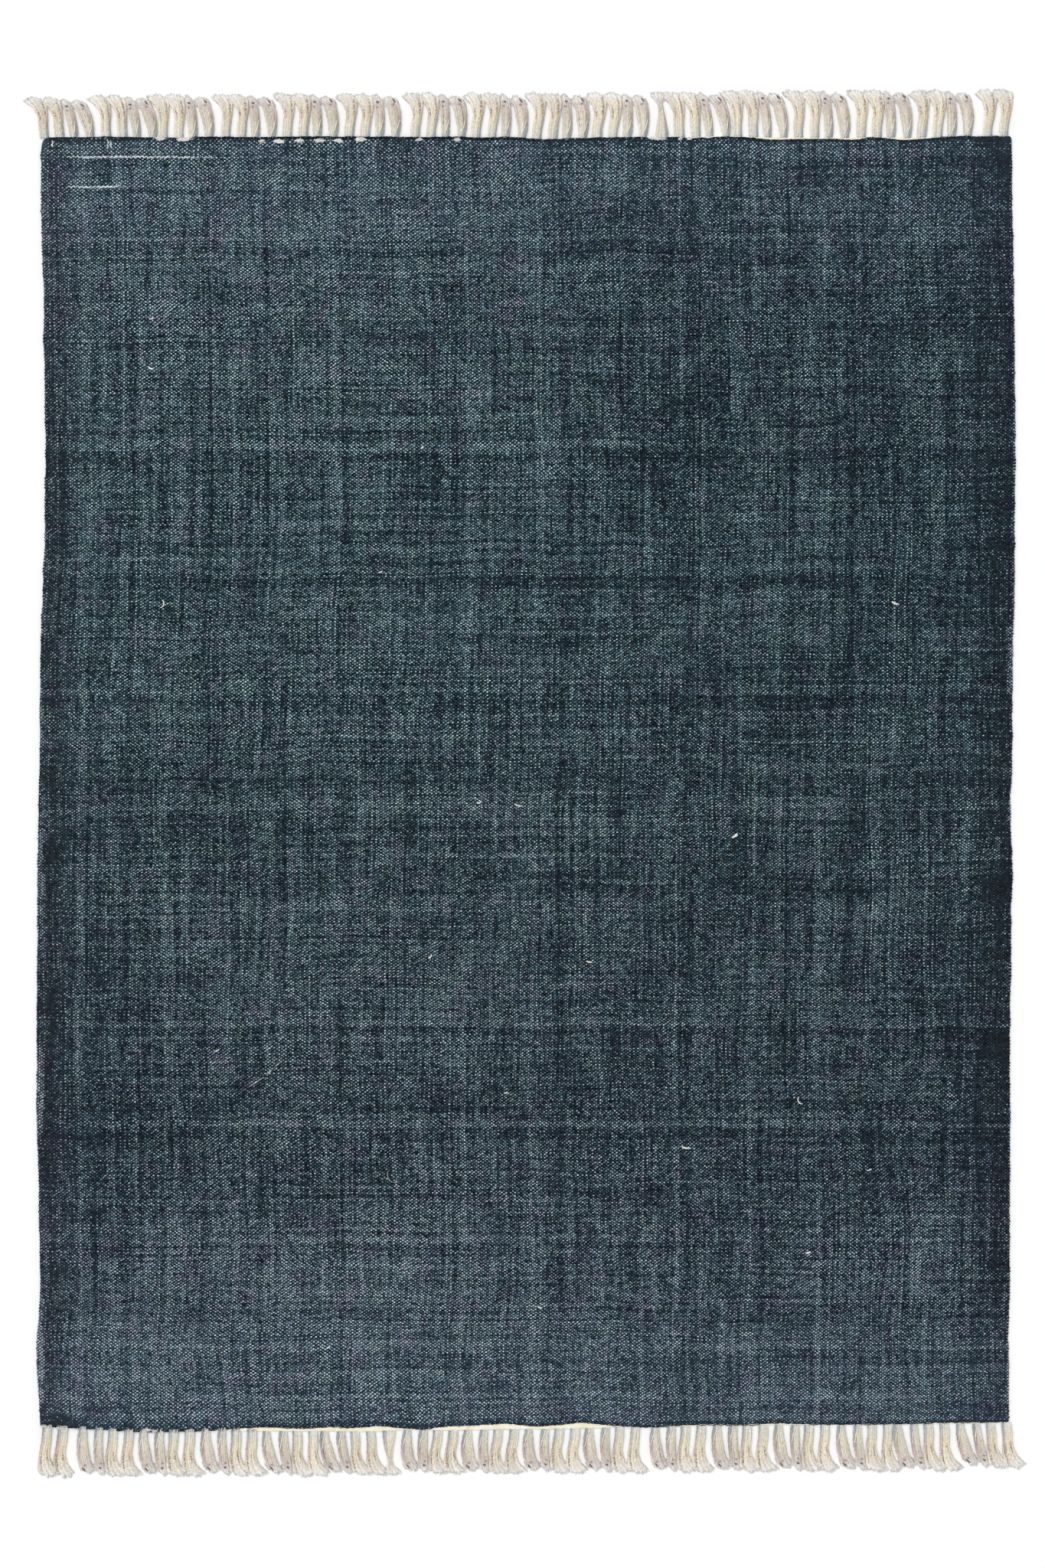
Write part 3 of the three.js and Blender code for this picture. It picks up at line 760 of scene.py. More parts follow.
# And from the foot's.
FOOT_CORD = table_of("across out",
    (-689, 1), (-600, 5.6), (-540, 8.4), (-480, 7.6), (-450, 6.6), (-410, 8.8), (-300, 9),
    (-210, 9.3), (-160, 6.3), (-117, 7.8), (-30, 6.5), (30, 6), (108, 4.4), (148, 2.2), (190, 3),
    (260, 0.2), (320, 0), (390, -0.8), (440, -0.6), (560, -1.8), (691, -3.4))

# Undyed cotton cord: creamy, matt, faintly yellow where it is thickest.
cream_cord, tree = new_material("undyed_cotton_twined_cord")
place = add_node(tree, "ShaderNodeTexCoord").outputs["Object"]
patch = add_node(tree, "ShaderNodeTexNoise", {"Vector": place, "Scale": 90.0, "Detail": 3.0})
colour = add_node(tree, "ShaderNodeValToRGB", {"Fac": patch}, [
    (0.3, "#eee7cb"), (0.5, "#f8f3da"), (0.7, "#fdfbee")])
finish_cotton(tree, colour, {"Roughness": 0.92, "Specular IOR Level": 0.15, "Sheen Weight": 0.1,
                             "Sheen Roughness": 0.5}, fibres=(1400.0, 0.5, 0.25))


def heading_edge(end, x):
    """How far the heading reaches at x, seen with that end upwards."""
    if end == "head":
        return CLOTH_LENGTH / 2 + read_off(HEAD_CORD, "across", "out", x)
    return CLOTH_LENGTH / 2 + read_off(FOOT_CORD, "across", "out", -x)


def add_heading(end):
    """A band of twined cord between the cloth's end and the tassels' roots."""
    x = np.arange(-CLOTH_WIDTH / 2 + 12, CLOTH_WIDTH / 2 - 6, TWINE_PITCH / 2)
    outer = heading_edge(end, x)
    inner = np.minimum(cloth_end(end, x), outer) - 2.4
    ring = np.linspace(0, 2 * math.pi, 13)[:-1]
    span = (1 - np.cos(ring)) / 2
    y = inner[:, None] + span * (outer - inner)[:, None]
    twists = np.cos(2 * math.pi * (x[:, None] / TWINE_PITCH + y / 5))
    cord_rows = np.cos(2 * math.pi * y / 2.6)
    height = HEADING_HIGH / 2 + (0.16 * twists + 0.14 * cord_rows) * (np.sin(ring) > 0)
    z = HEADING_HIGH / 2 + height * np.sign(np.sin(ring)) * np.abs(np.sin(ring)) ** 0.6
    points = np.stack([np.broadcast_to(x[:, None], y.shape), y, np.maximum(z, 0.05)], -1)
    count, sides = y.shape
    at = np.arange(count * sides).reshape(count, sides)
    around = np.roll(at, -1, 1)
    skin = np.stack([at[:-1], around[:-1], around[1:], at[1:]], -1).reshape(-1, 4).tolist()
    caps = [at[0][::-1].tolist(), at[-1].tolist()]
    points = end_frame(points.reshape(-1, 3), end)
    piece = add_piece(f"heading_{end}", points, skin + caps, cream_cord)
    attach(piece, "root")
    return piece


headings = {end: add_heading(end) for end in ("head", "foot")}

# ---- The tassels -----------------------------------------------------------------------------
# The warp ends hang out past the headings as 63 loose tassels at each end, each of seven plied
# yarns. They lie flat on the floor and all lean one way: some splay at the tip, the others bow.
YARN_POINTS = 20
TASSEL_WIDE = 15.5  # past this width the yarns are looser and thicker
ROOT_IN = 1.5  # how far the tassels start inside the heading
# At the foot, seen with the foot upwards, the tassels from here on start over the heading.
OVER_FROM = 380
# Where each yarn of a tassel lies, from -1 at its left to 1 at its right, and its layer.
YARNS = table_of("side layer radius",
    (-1, 0, 2.1), (-0.36, 0, 2.2), (0.3, 0, 2.2), (1, 0, 2.1), (-0.66, 1, 1.8), (0, 1, 1.9),
    (0.64, 1, 1.8))
# A tassel's form: how far out its yarns go in its middle and at its sides, how grey it is, how far
# its loose fibres stray, and, by share of its length, where its left and right sides are.
SPLAYED = dict(middle=0.965, sides=0.9, grey=0.0, stray=1.0, lines=table_of("out left right",
    (0, -7, 7), (0.25, -7, 7.8), (0.5, -5.5, 10), (0.65, -7.8, 11), (0.8, -12.5, 11),
    (0.9, -19.4, 9), (1, -23, 6)))
CURLED = dict(middle=0.93, sides=0.85, grey=1.0, stray=0.4, lines=table_of("out left right",
    (0, -6, 5.6), (0.18, -6.2, 7.7), (0.5, -7.5, 7.2), (0.65, -8.5, 6), (0.8, -9.2, 3.5),
    (0.88, -11, 0.5), (1, -13, -4)))
BOWED = dict(middle=0.9, sides=0.84, grey=1.0, stray=0.4, lines=table_of("out left right",
    (0, -4.6, 6), (0.18, -6.2, 8.4), (0.25, -6.7, 8.9), (0.5, -10.3, 8.6), (0.65, -12.6, 6.6),
    (0.8, -17.2, 2.5), (0.9, -19.5, -2), (1, -21, -8)))
WAISTED = dict(middle=0.965, sides=0.92, grey=0.3, stray=0.8, lines=table_of("out left right",
    (0, -9, 10), (0.1, -9, 10.3), (0.25, -7.7, 9), (0.5, -5.1, 5.7), (0.7, -5.1, 2.9),
    (0.85, -10.5, 3.5), (0.92, -15, 5.5), (1, -17, 7)))
FOUR = table_of("at form",
    (0, SPLAYED), (23, SPLAYED), (43, CURLED), (66, BOWED))
ONE = [dict(at=0, form=WAISTED)]
# Each group's first tassel from the left selvedge, its lean to the left, its reaches.
GROUPS = table_of("start tassels lean head foot",
    (7, FOUR, 9.3, 60, 63), (97, FOUR, 7.2, 63.5, 67), (178, FOUR, 2.2, 65, 68),
    (268, FOUR, 0, 65, 68), (357, FOUR, -0.4, 66.5, 69), (446, FOUR, -2.3, 66, 69),
    (541, FOUR, -2.2, 67, 70), (628, FOUR, -3.7, 67, 70), (716, FOUR, -4.2, 67.5, 71),
    (803, FOUR, -4.3, 67.5, 71), (896, ONE, 0, 68.5, 72), (923, FOUR, 6.9, 69, 73),
    (1006, FOUR, 4.3, 71, 74), (1094, FOUR, 1.2, 71, 74), (1184, FOUR, 0.4, 71.5, 75),
    (1271, FOUR, -2.6, 71.5, 75), (1366, FOUR[:2], -4, 72.5, 76))

# Loose plied cotton, undyed: creamy on the splayed tassels and greyer on the bowed ones, with brown
# specks, many more along the grooves as painted shade, a painted bluish shade down the right
# side, and bleached white tips.
plied_cotton, tree = new_material("undyed_plied_cotton_yarn")
place = add_node(tree, "ShaderNodeTexCoord").outputs["Object"]
known = {
    name: add_node(tree, "ShaderNodeAttribute", attribute_name=name).outputs["Fac"]
    for name in ("along", "side", "shade", "grey", "groove_shade")
}
cream = add_node(tree, "ShaderNodeValToRGB", {"Fac": known["along"]}, [
    (0, "#e8e8e4"), (0.12, "#ece8dc"), (0.42, "#f3e9d1"), (0.62, "#f4ead8"), (0.76, "#f8eee0"),
    (0.85, "#fbf4ea"), (0.92, "#fdf9f4")])
greyer = add_node(tree, "ShaderNodeValToRGB", {"Fac": known["along"]}, [
    (0, "#e6e5e1"), (0.15, "#eae5d8"), (0.42, "#e9e1cf"), (0.62, "#e9ded3"), (0.76, "#e7ddd7"),
    (0.84, "#f3ede9"), (0.9, "#faf7f4")])
colour = add_node(tree, "ShaderNodeMix", {"Factor": known["grey"], "A": cream, "B": greyer},
                  data_type="RGBA")
# Painted bluish shade down each tassel's right side: strongest at the root, reaching further in on the
# greyer ones.
right_side_shade = add_node(tree, "ShaderNodeMath", {0: known["grey"], 1: 0.14, 2: known["side"]},
                operation="MULTIPLY_ADD")
right_side_shade = add_node(tree, "ShaderNodeValToRGB", {"Fac": right_side_shade}, [(0.72, 0.0), (0.95, 1.0)])
right_side_shade_fading = add_node(tree, "ShaderNodeValToRGB", {"Fac": known["along"]}, [
    (0, 1.0), (0.2, 0.8), (0.45, 0.75), (0.85, 0.1)])
right_side_shade_tint = add_node(tree, "ShaderNodeValToRGB", {"Fac": known["along"]}, [
    (0.1, "#aebdca"), (0.35, "#bdb2c4"), (0.6, "#dacfd2")])
right_side_shade = add_node(tree, "ShaderNodeMath", {0: right_side_shade, 1: right_side_shade_fading}, operation="MULTIPLY")
colour = add_node(tree, "ShaderNodeMix", {"Factor": right_side_shade, "A": colour, "B": right_side_shade_tint},
                  data_type="RGBA", blend_type="MULTIPLY")
speckle = add_node(tree, "ShaderNodeTexNoise", {"Vector": place, "Scale": 480.0, "Detail": 1.0})
dark_speck = add_node(tree, "ShaderNodeMapRange",
                      {"Value": speckle, "From Min": 0.6, "From Max": 0.42, "To Min": 0.1,
                       "To Max": 0.9})
# Brown specks all over, and many more where the grooves get painted shade.
specks_and_groove_shade = add_node(tree, "ShaderNodeMath", {0: known["groove_shade"], 1: 0.1}, operation="ADD")
specks_and_groove_shade = add_node(tree, "ShaderNodeMath", {0: specks_and_groove_shade, 1: dark_speck}, operation="MULTIPLY")
colour = add_node(tree, "ShaderNodeMix", {"Factor": specks_and_groove_shade, "A": colour, "B": linear("#a3927a")},
                  data_type="RGBA")
tone = add_node(tree, "ShaderNodeMapRange", {"Value": known["shade"], "To Min": 0.86, "To Max": 1.06})
colour = add_node(tree, "ShaderNodeVectorMath", {0: colour, "Scale": tone}, operation="SCALE")
mottle = add_node(tree, "ShaderNodeTexNoise", {"Vector": place, "Scale": 260.0, "Detail": 3.0,
                                               "Roughness": 0.7})
mottle = add_node(tree, "ShaderNodeMapRange",
                  {"Value": mottle, "From Min": 0.32, "From Max": 0.68, "To Min": 0.88, "To Max": 1.15})
colour = add_node(tree, "ShaderNodeVectorMath", {0: colour, "Scale": mottle}, operation="SCALE")
finish_cotton(tree, colour, {"Roughness": 0.92, "Specular IOR Level": 0.1,
                             "Subsurface Weight": 0.4, "Subsurface Radius": (1, 1, 1),
                             "Subsurface Scale": 0.8 * MM}, fibres=(1300.0, 0.35, 0.2))


def tassels_of(end):
    """The tassels of an end, seen with that end upwards."""
    found = []
    for group in GROUPS:
        for tassel in group["tassels"]:
            x = group["start"] + tassel["at"] - CLOTH_WIDTH / 2
            y = float(max(heading_edge(end, x), cloth_end(end, x))) - ROOT_IN
            found.append(dict(
                number=len(found), x=x, y=y, length=CLOTH_LENGTH / 2 + group[end] - y,
                form=tassel["form"], lean=group["lean"],
            ))
    return found


def strand_path(tassel, side, z, t):
    """The middle line of a strand of a tassel, at shares t of the tassel's length."""
    left, right = (read_off(tassel["form"]["lines"], "out", edge, t) for edge in ("left", "right"))
    x = tassel["x"] - tassel["lean"] * t + left + (side + 1) / 2 * (right - left)
    return np.stack([x, tassel["y"] + t * tassel["length"], z + 0 * t], -1)


def strand_facts(tassel, side, shade, t, groove_shade=0.0):
    """What the yarn's material needs to know at each of those shares."""
    return dict(along=t, side=side / 2 + 0.5 + 0 * t, shade=shade + 0 * t,
                grey=tassel["form"]["grey"] + 0 * t, groove_shade=groove_shade + 0 * t,
                tassel=tassel["number"] + 0.0 * t)


def add_tassel_map(piece, end):
    """A bake map with the tassels side by side in rows of eight, each seen from above."""
    numbers = np.empty(len(piece.data.vertices), np.float32)
    piece.data.attributes["tassel"].data.foreach_get("value", numbers)
    numbers = numbers.round().astype(int)
    points = np.empty(len(numbers) * 3, np.float32)
    piece.data.vertices.foreach_get("co", points)
    points = points.reshape(-1, 3) / MM - shift
    if end == "foot":
        points[:, :2] *= -1
    roots = np.array([(tassel["x"], tassel["y"]) for tassel in tassels_of(end)])[numbers]
    left_below, wide_high = (-40, -6), (62, 96)  # a tassel's room round its root
    local = (points[:, :2] - roots - left_below) / wide_high
    room = np.stack([numbers % 8, numbers // 8], -1)
    add_map(piece, "OFBake", (room + np.clip(local, 0.01, 0.99)) / 8)


yarns, yarn_ends = {}, {}
for end, seed in (("head", 21), ("foot", 22)):
    rng = np.random.default_rng(seed)
    strands, tips = [], []
    for tassel in tassels_of(end):
        form = tassel["form"]
        for yarn in YARNS:
            side, radius = yarn["side"] + rng.normal(0, 0.05), yarn["radius"]
            last = form["middle"] + (form["sides"] - form["middle"]) * side**2
            last += rng.uniform(-0.02, 0.015)
            t = last * (1 - (1 - np.linspace(0, 1, YARN_POINTS)) ** 1.4)
            width = read_off(form["lines"], "out", "right", t) - read_off(
                form["lines"], "out", "left", t)
            # The yarn swells past its root, and near its tip it sinks to the floor and thins out.
            spread = np.clip(width / TASSEL_WIDE, 1, 1.75)
            risen = np.clip(t / 0.12, 0, 1)
            sunk = np.clip((t - last + 0.35) / 0.35, 0, 1)
            girth = radius * spread * (0.72 + 0.28 * risen) * np.interp(
                t, [last - 0.06, last - 0.015, last], [1, 0.85, 0.45])
            inset = side * (1 - 2 * girth / width)
            lift = 1.2 * yarn["layer"] * risen * (1 - 0.3 * t) * (1 - sunk)
            path = strand_path(tassel, inset, girth + 0.15 + lift, t)
            path[:, 0] += np.interp(t, np.linspace(0, 1, 6), rng.normal(0, 0.3, 6)) * risen
            path[:, 2] += abs(rng.normal(0, 0.1))
            # Along part of the foot the yarns come over the heading.
            if end == "foot" and tassel["x"] > OVER_FROM:
                over = rng.uniform(0, 3)
                path[:, 1] -= over * np.exp(-t / 0.03)
                path[:, 2] += 2.4 * min(over, 1) * np.exp(-t / 0.1)
            # The upper yarns at both sides of a splayed tassel get painted shade in their grooves,
            # brown and speckled.
            brown = 0.0
            if form is SPLAYED and yarn["layer"] and side > 0.4:
                brown = 1.15 * np.exp(-(((t - 0.69) / 0.19) ** 4))
            elif form is SPLAYED and yarn["layer"] and side < -0.4:
                brown = np.exp(-(((t - 0.55) / 0.12) ** 4))
            facts = strand_facts(tassel, side, rng.uniform(), t, brown)
            facts["girth"] = girth
            facts["flatness"] = 0.55 * sunk * form["stray"]
            strands.append((path, facts))
            tips.append(dict(tassel=tassel, side=side, last=last, path=path))
        # A loose strand winds over the upper half of the curled and bowed ones, at the palest tone as a
        # painted highlight.
        if form["grey"] == 1:
            t = np.linspace(0.02, 0.42, 9)
            side = np.interp(t, [0, 0.2, 0.42], [-0.35, 0.3, 0.72])
            path = strand_path(tassel, side, 4.3 + 0.8 * np.sin(math.pi * t / 0.42), t)
            facts = strand_facts(tassel, side * 0.3, 1.0, t)
            facts["girth"] = 1.15 * np.sin(math.pi * (t + 0.03) / 0.48) ** 0.5
            facts["flatness"] = 0 * t
            strands.append((path, facts))
    yarns[end] = add_strands(f"tassels_{end}", end, strands, plied_cotton, sides=7)
    add_tassel_map(yarns[end], end)
    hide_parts(f"fringe_{end}")
    yarn_ends[end] = tips

# Dark slivers lie in the partings between the yarns as painted shade, where the plies part: a long
# one near the tip of each bowed tassel, and small ones lower down and on the curled ones. They are
# smoother than the yarn. The table says on which form, from where to where beside its root and in
# from its tip, and its look.
SHADED_PARTINGS = table_of("form start stop radius pale",
    (BOWED, (-6, 9), (-0.6, 14.6), 1.15, 0.0), (BOWED, (-6, 18.2), (-1.8, 16.8), 1.7, 0.7),
    (CURLED, (-5.6, 13), (-1.6, 14.4), 1.4, 0.1), (CURLED, (-5.8, 19.4), (-2.8, 20.8), 1.3, 0.6))
parting_shade, tree = new_material("painted_shade_in_yarn_partings")
place = add_node(tree, "ShaderNodeTexCoord").outputs["Object"]
pale = add_node(tree, "ShaderNodeAttribute", attribute_name="pale").outputs["Fac"]
patch = add_node(tree, "ShaderNodeTexNoise", {"Vector": place, "Scale": 700.0, "Detail": 1.0})
pale = add_node(tree, "ShaderNodeMath", {0: patch, 1: 0.3, 2: pale}, operation="MULTIPLY_ADD")
colour = add_node(tree, "ShaderNodeValToRGB", {"Fac": pale}, [
    (0, "#5e534f"), (0.3, "#7a6d66"), (1, "#bcaea4")])
finish_cotton(tree, colour, {"Roughness": 0.75, "Specular IOR Level": 0.2})

parting_shade_pieces = {}
for end, seed in (("head", 61), ("foot", 62)):
    rng = np.random.default_rng(seed)
    strands = []
    for tassel in tassels_of(end):
        for row in (row for row in SHADED_PARTINGS if row["form"] is tassel["form"]):
            s = np.linspace(0, 1, 7)
            (x0, y0), (x1, y1) = np.array([row["start"], row["stop"]]) + rng.normal(0, 0.35, 2)
            y = tassel["length"] - y0 - (y1 - y0) * s
            x = x0 + (x1 - x0) * s - tassel["lean"] * y / tassel["length"]
            z = (3.4 if row["form"] is BOWED else 3.6) + 0.03 * y0 + 0.3 * np.sin(math.pi * s)
            path = np.stack([tassel["x"] + x, tassel["y"] + y, z], -1)
            girth = row["radius"] * np.sqrt(1 - (2 * s - 1) ** 2 * 0.93)
            strands.append((path, dict(girth=girth, pale=row["pale"] + 0 * s,
                                       tassel=tassel["number"] + 0 * s)))
    parting_shade_pieces[end] = add_strands(f"painted_parting_shade_{end}", end, strands, parting_shade, sides=6)
    add_tassel_map(parting_shade_pieces[end], end)

# ---- The frayed tips -------------------------------------------------------------------------
# The yarns end in a soft brush of loose cotton fibres, white where the wash has bleached them, so
# full that the tips of neighbouring tassels run into one another.
FIBRE_LONG = 5
FIBRE_THIN = 0.4

# Bleached cotton fibre: soft white, a little light comes through it.
white_fibre, tree = new_material("bleached_cotton_fibre")
place = add_node(tree, "ShaderNodeTexCoord").outputs["Object"]
patch = add_node(tree, "ShaderNodeTexNoise", {"Vector": place, "Scale": 160.0, "Detail": 2.0})
colour = add_node(tree, "ShaderNodeValToRGB", {"Fac": patch}, [
    (0.3, "#faf5ee"), (0.5, "#fdfaf6"), (0.7, "#ffffff")])
finish_cotton(tree, colour, {"Roughness": 0.9, "Specular IOR Level": 0.1,
                             "Subsurface Weight": 0.5, "Subsurface Radius": (1, 1, 1),
                             "Subsurface Scale": 1.5 * MM})

brush, given, result = new_rule("brush of fibres at a yarn's end", {
    "Fibres": "Int", "Fibre length": "Float", "Fibre radius": "Float", "Spread": "Float",
    "Scatter": "Float", "Floor gap": "Float", "Seed": "Int", "Fibre": "Material"})
fibre = add_node(brush, "GeometryNodeMeshCone",
                 {"Vertices": 4, "Side Segments": 2, "Radius Top": 0.0001,
                  "Radius Bottom": given["Fibre radius"], "Depth": given["Fibre length"]})
where = add_node(brush, "GeometryNodeInputPosition")
up = add_node(brush, "ShaderNodeSeparateXYZ", {0: where}).outputs[2]
bow = add_node(brush, "ShaderNodeMath", {0: up, 1: given["Fibre length"]}, operation="DIVIDE")
bow = add_node(brush, "ShaderNodeMath", {0: bow, 1: up}, operation="MULTIPLY")
bow = add_node(brush, "ShaderNodeMath", {0: bow, 1: 0.25}, operation="MULTIPLY")
bow = add_node(brush, "ShaderNodeCombineXYZ", {"X": bow})
fibre = add_node(brush, "GeometryNodeSetPosition", {"Geometry": fibre, "Offset": bow})
ends = add_node(brush, "GeometryNodeDuplicateElements",
                {"Geometry": given["Geometry"], "Amount": given["Fibres"]}, domain="POINT")
back = add_node(brush, "ShaderNodeMath", {0: given["Scatter"], 1: -1.0}, operation="MULTIPLY")
low = add_node(brush, "ShaderNodeCombineXYZ", {"X": back, "Y": back})
high = add_node(brush, "ShaderNodeCombineXYZ",
                {"X": given["Scatter"], "Y": given["Scatter"], "Z": given["Scatter"]})
strewn = add_node(brush, "FunctionNodeRandomValue",
                  {"Min": low, "Max": high, "Seed": given["Seed"]}, data_type="FLOAT_VECTOR")
ends = add_node(brush, "GeometryNodeSetPosition", {"Geometry": ends, "Offset": strewn})
way = add_node(brush, "GeometryNodeInputNamedAttribute", {"Name": "way"}, data_type="FLOAT_VECTOR")
aimed = add_node(brush, "FunctionNodeAlignRotationToVector", {"Vector": way.outputs[0]}, axis="Z")
back = add_node(brush, "ShaderNodeMath", {0: given["Spread"], 1: -1.0}, operation="MULTIPLY")
fanned = add_node(brush, "FunctionNodeRandomValue",
                  {"Min": back, "Max": given["Spread"], "Seed": given["Seed"]}, data_type="FLOAT")
fanned = add_node(brush, "ShaderNodeCombineXYZ", {"Z": fanned})
aimed = add_node(brush, "FunctionNodeRotateRotation",
                 {"Rotation": aimed, "Rotate By": fanned}, rotation_space="GLOBAL")
rolled = add_node(brush, "FunctionNodeRandomValue",
                  {"Min": 0, "Max": 1, "Seed": given["Seed"]}, data_type="INT")
rolled = add_node(brush, "ShaderNodeMath", {0: rolled, 1: math.pi}, operation="MULTIPLY")
rolled = add_node(brush, "ShaderNodeCombineXYZ", {"Z": rolled})
aimed = add_node(brush, "FunctionNodeRotateRotation",
                 {"Rotation": aimed, "Rotate By": rolled}, rotation_space="LOCAL")
reach = add_node(brush, "GeometryNodeInputNamedAttribute", {"Name": "reach"})
uneven = add_node(brush, "FunctionNodeRandomValue",
                  {"Min": 0.45, "Max": 1.15, "Seed": given["Seed"]}, data_type="FLOAT")
reach = add_node(brush, "ShaderNodeMath", {0: reach, 1: uneven}, operation="MULTIPLY")
reach = add_node(brush, "ShaderNodeCombineXYZ", {"X": 1.0, "Y": 1.0, "Z": reach})
tuft = add_node(brush, "GeometryNodeInstanceOnPoints",
                {"Points": ends, "Instance": fibre, "Rotation": aimed, "Scale": reach})
tuft = add_node(brush, "GeometryNodeRealizeInstances", {"Geometry": tuft})
settled = add_node(brush, "ShaderNodeSeparateXYZ", {0: where})
kept_up = add_node(brush, "ShaderNodeMath", {0: settled.outputs[2], 1: given["Floor gap"]},
                   operation="MAXIMUM")
settled = add_node(brush, "ShaderNodeCombineXYZ",
                   {"X": settled.outputs[0], "Y": settled.outputs[1], "Z": kept_up})
tuft = add_node(brush, "GeometryNodeSetPosition", {"Geometry": tuft, "Position": settled})
finish_rule(brush, tuft, given["Fibre"], result)


def add_fibres(name, end, starts, ways, reach, fibres, seed, **facts):
    """A piece made of tufts of fibres that start at the points and point the given ways."""
    ways = np.array(ways, float)
    ways /= np.linalg.norm(ways, axis=1)[:, None]
    if end == "foot":
        ways[:, :2] *= -1
    guide = add_guide(end_frame(starts, end), [], way=ways, reach=np.full(len(ways), reach), **facts)
    piece = make_by(brush, guide, name, {
        "Fibres": fibres, "Fibre length": FIBRE_LONG * MM, "Fibre radius": FIBRE_THIN * MM,
        "Spread": 0.7, "Scatter": 1.5 * MM, "Floor gap": 0.05 * MM, "Seed": seed,
        "Fibre": white_fibre})
    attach(piece, "root")
    return piece


wisps, frayed = [], []
for end, seed in (("head", 23), ("foot", 24)):
    rng = np.random.default_rng(seed)
    strands, starts, ways, numbers = [], [], [], []
    # Four flat wisps go on from each yarn's end, and all five end in fibres.
    for tip in yarn_ends[end]:
        tassel = tip["tassel"]
        path = tip["path"]
        starts.append([*path[-2][:2], 0.5])
        ways.append([*(path[-1] - path[-5])[:2], 0])
        numbers.append(tassel["number"])
        for _ in range(4):
            start = tip["last"] - rng.uniform(0.05, 0.14)
            t = np.linspace(start, tip["last"] + rng.uniform(-0.005, 0.05), 6)
            away = (t - start) / (t[-1] - start)
            path = strand_path(tassel, tip["side"] * 0.95, 2.5 - 1.1 * away, t)
            path[:, 0] += rng.uniform(-3, 2.6) * tassel["form"]["stray"] * away**1.2
            strands.append((path, dict(girth=2.2 - 0.9 * away**2, flatness=0.62 + 0 * t,
                                       tassel=tassel["number"] + 0 * t)))
            starts.append([*path[-2][:2], 0.5])
            ways.append([*(path[-1] - path[-3])[:2], 0])
            numbers.append(tassel["number"])
    piece = add_strands(f"wisps_{end}", end, strands, white_fibre, sides=5)
    add_tassel_map(piece, end)
    wisps.append(piece)
    piece = add_fibres(f"frayed_tips_{end}", end, starts, ways, 0.5, 2, 31, tassel=numbers)
    add_tassel_map(piece, end)
    frayed.append(piece)

# ---- Stray threads and lint ------------------------------------------------------------------
# Short ends of the warp stick out of the heading's inner edge as white fluff, and lumps of heading
# yarn run in over the indigo. Two undyed picks and three warp ends show in the head's left corner,
# and bits of lint and thread lie on the cloth.

# Lumps of bleached heading yarn over the first picks of either end: where, and how thick.
FLOATS = table_of("start stop along thick",
    (-533, -519, 926.6, 4.5), (-503, -481, 925.4, 4), (-384, -376, 923.4, 3.2),
    (-364, -346, 922.8, 4.6), (-331, -318, 924, 4.2), (-305, -287, 924, 3.8),
    (-275, -261, 923.8, 4.4), (-245, -229, 925.6, 5.4), (-158, -148, 925.2, 3.2),
    (-103, -93, 925.2, 3.4), (174, 206, 926.8, 2.6), (221, 226, 927, 2.4), (234, 240, 926.8, 2.4),
    (-699, -689, -928, 2.6), (-676, -662, -930.5, 2), (-551, -539, -933.2, 3),
    (-537, -531, -935, 2.6))
# Undyed picks that snake over and under the warp, each sinking in at its right.
PALE_PICKS = table_of("start stop along",
    (-660, -443, 900.2), (-660, -571, 857.3))
# Undyed warp ends that come up and snake over the head's first picks, and how deep.
PALE_WARPS = table_of("across start stop sunk",
    (-681, 914, 926, 0.75), (-601, 912, 927, 0.1), (-597, 914, 926, 0.4))
# Bits of thread lying on the cloth: where, how long and thick, which way, how curled.
LINT = table_of("across along long thick turn curl",
    (-539, 669, 8, 1.1, 0.2, 1.5), (-539, 598, 9, 1.5, -0.5, 2), (-149, 482, 6, 1.1, 0.9, 1),
    (-209, 303, 6, 1.1, 0.3, 1), (-526, 257, 16, 1, 1.2, 2.5), (533, 259, 12, 1.3, -0.4, 1),
    (-67, -28, 8, 1.3, 0.2, 2), (-10, -32, 13, 1, -0.3, 1), (301, -77, 10, 2.1, 0.6, 1),
    (-138, -251, 8, 1.1, 0.7, 1.5), (92, -258, 8, 1.3, -0.3, 1), (-380, -423, 66, 0.9, 0.65, 0.3),
    (-445, -386, 9, 0.8, 0.4, 1), (-28, -447, 6, 1, 0.1, 1), (398, -458, 15, 1, -1.2, 2.5),
    (231, -525, 14, 1.3, -0.2, 1), (-186, -565, 34, 0.4, -1.1, 3), (495, -558, 8, 0.9, 0.2, 1),
    (407, -677, 8, 1.3, 0.1, 1), (21, -756, 7, 1.2, -0.4, 1), (-284, -814, 7, 1, 0.5, 1))


def above_cloth(across, along, up):
    """Points at that height over the cloth's upper side."""
    inside = np.clip(along, 4 - CLOTH_LENGTH / 2, CLOTH_LENGTH / 2 - 4)
    row = np.interp(inside, grid_y[:, 0], np.arange(rows)).round().astype(int)
    column = np.interp(across, grid_x[0], np.arange(columns)).round().astype(int)
    z = top[row, column, 2]
    return np.stack([across, along, z + up], -1)


def add_threads(name, paths, radii, material, beads):
    """A piece made of lumpy threads of those radii, which thin out at their ends."""
    rng = np.random.default_rng(13)
    strands = []
    for path, radius in zip(paths, radii):
        t = np.linspace(-1, 1, len(path))
        lumpy = rng.uniform(1 - beads, 1 + beads, len(path))
        strands.append((path, dict(girth=radius * (1 - 0.6 * t**4) * lumpy)))
    piece = add_strands(name, "head", strands, material, sides=5)
    return piece


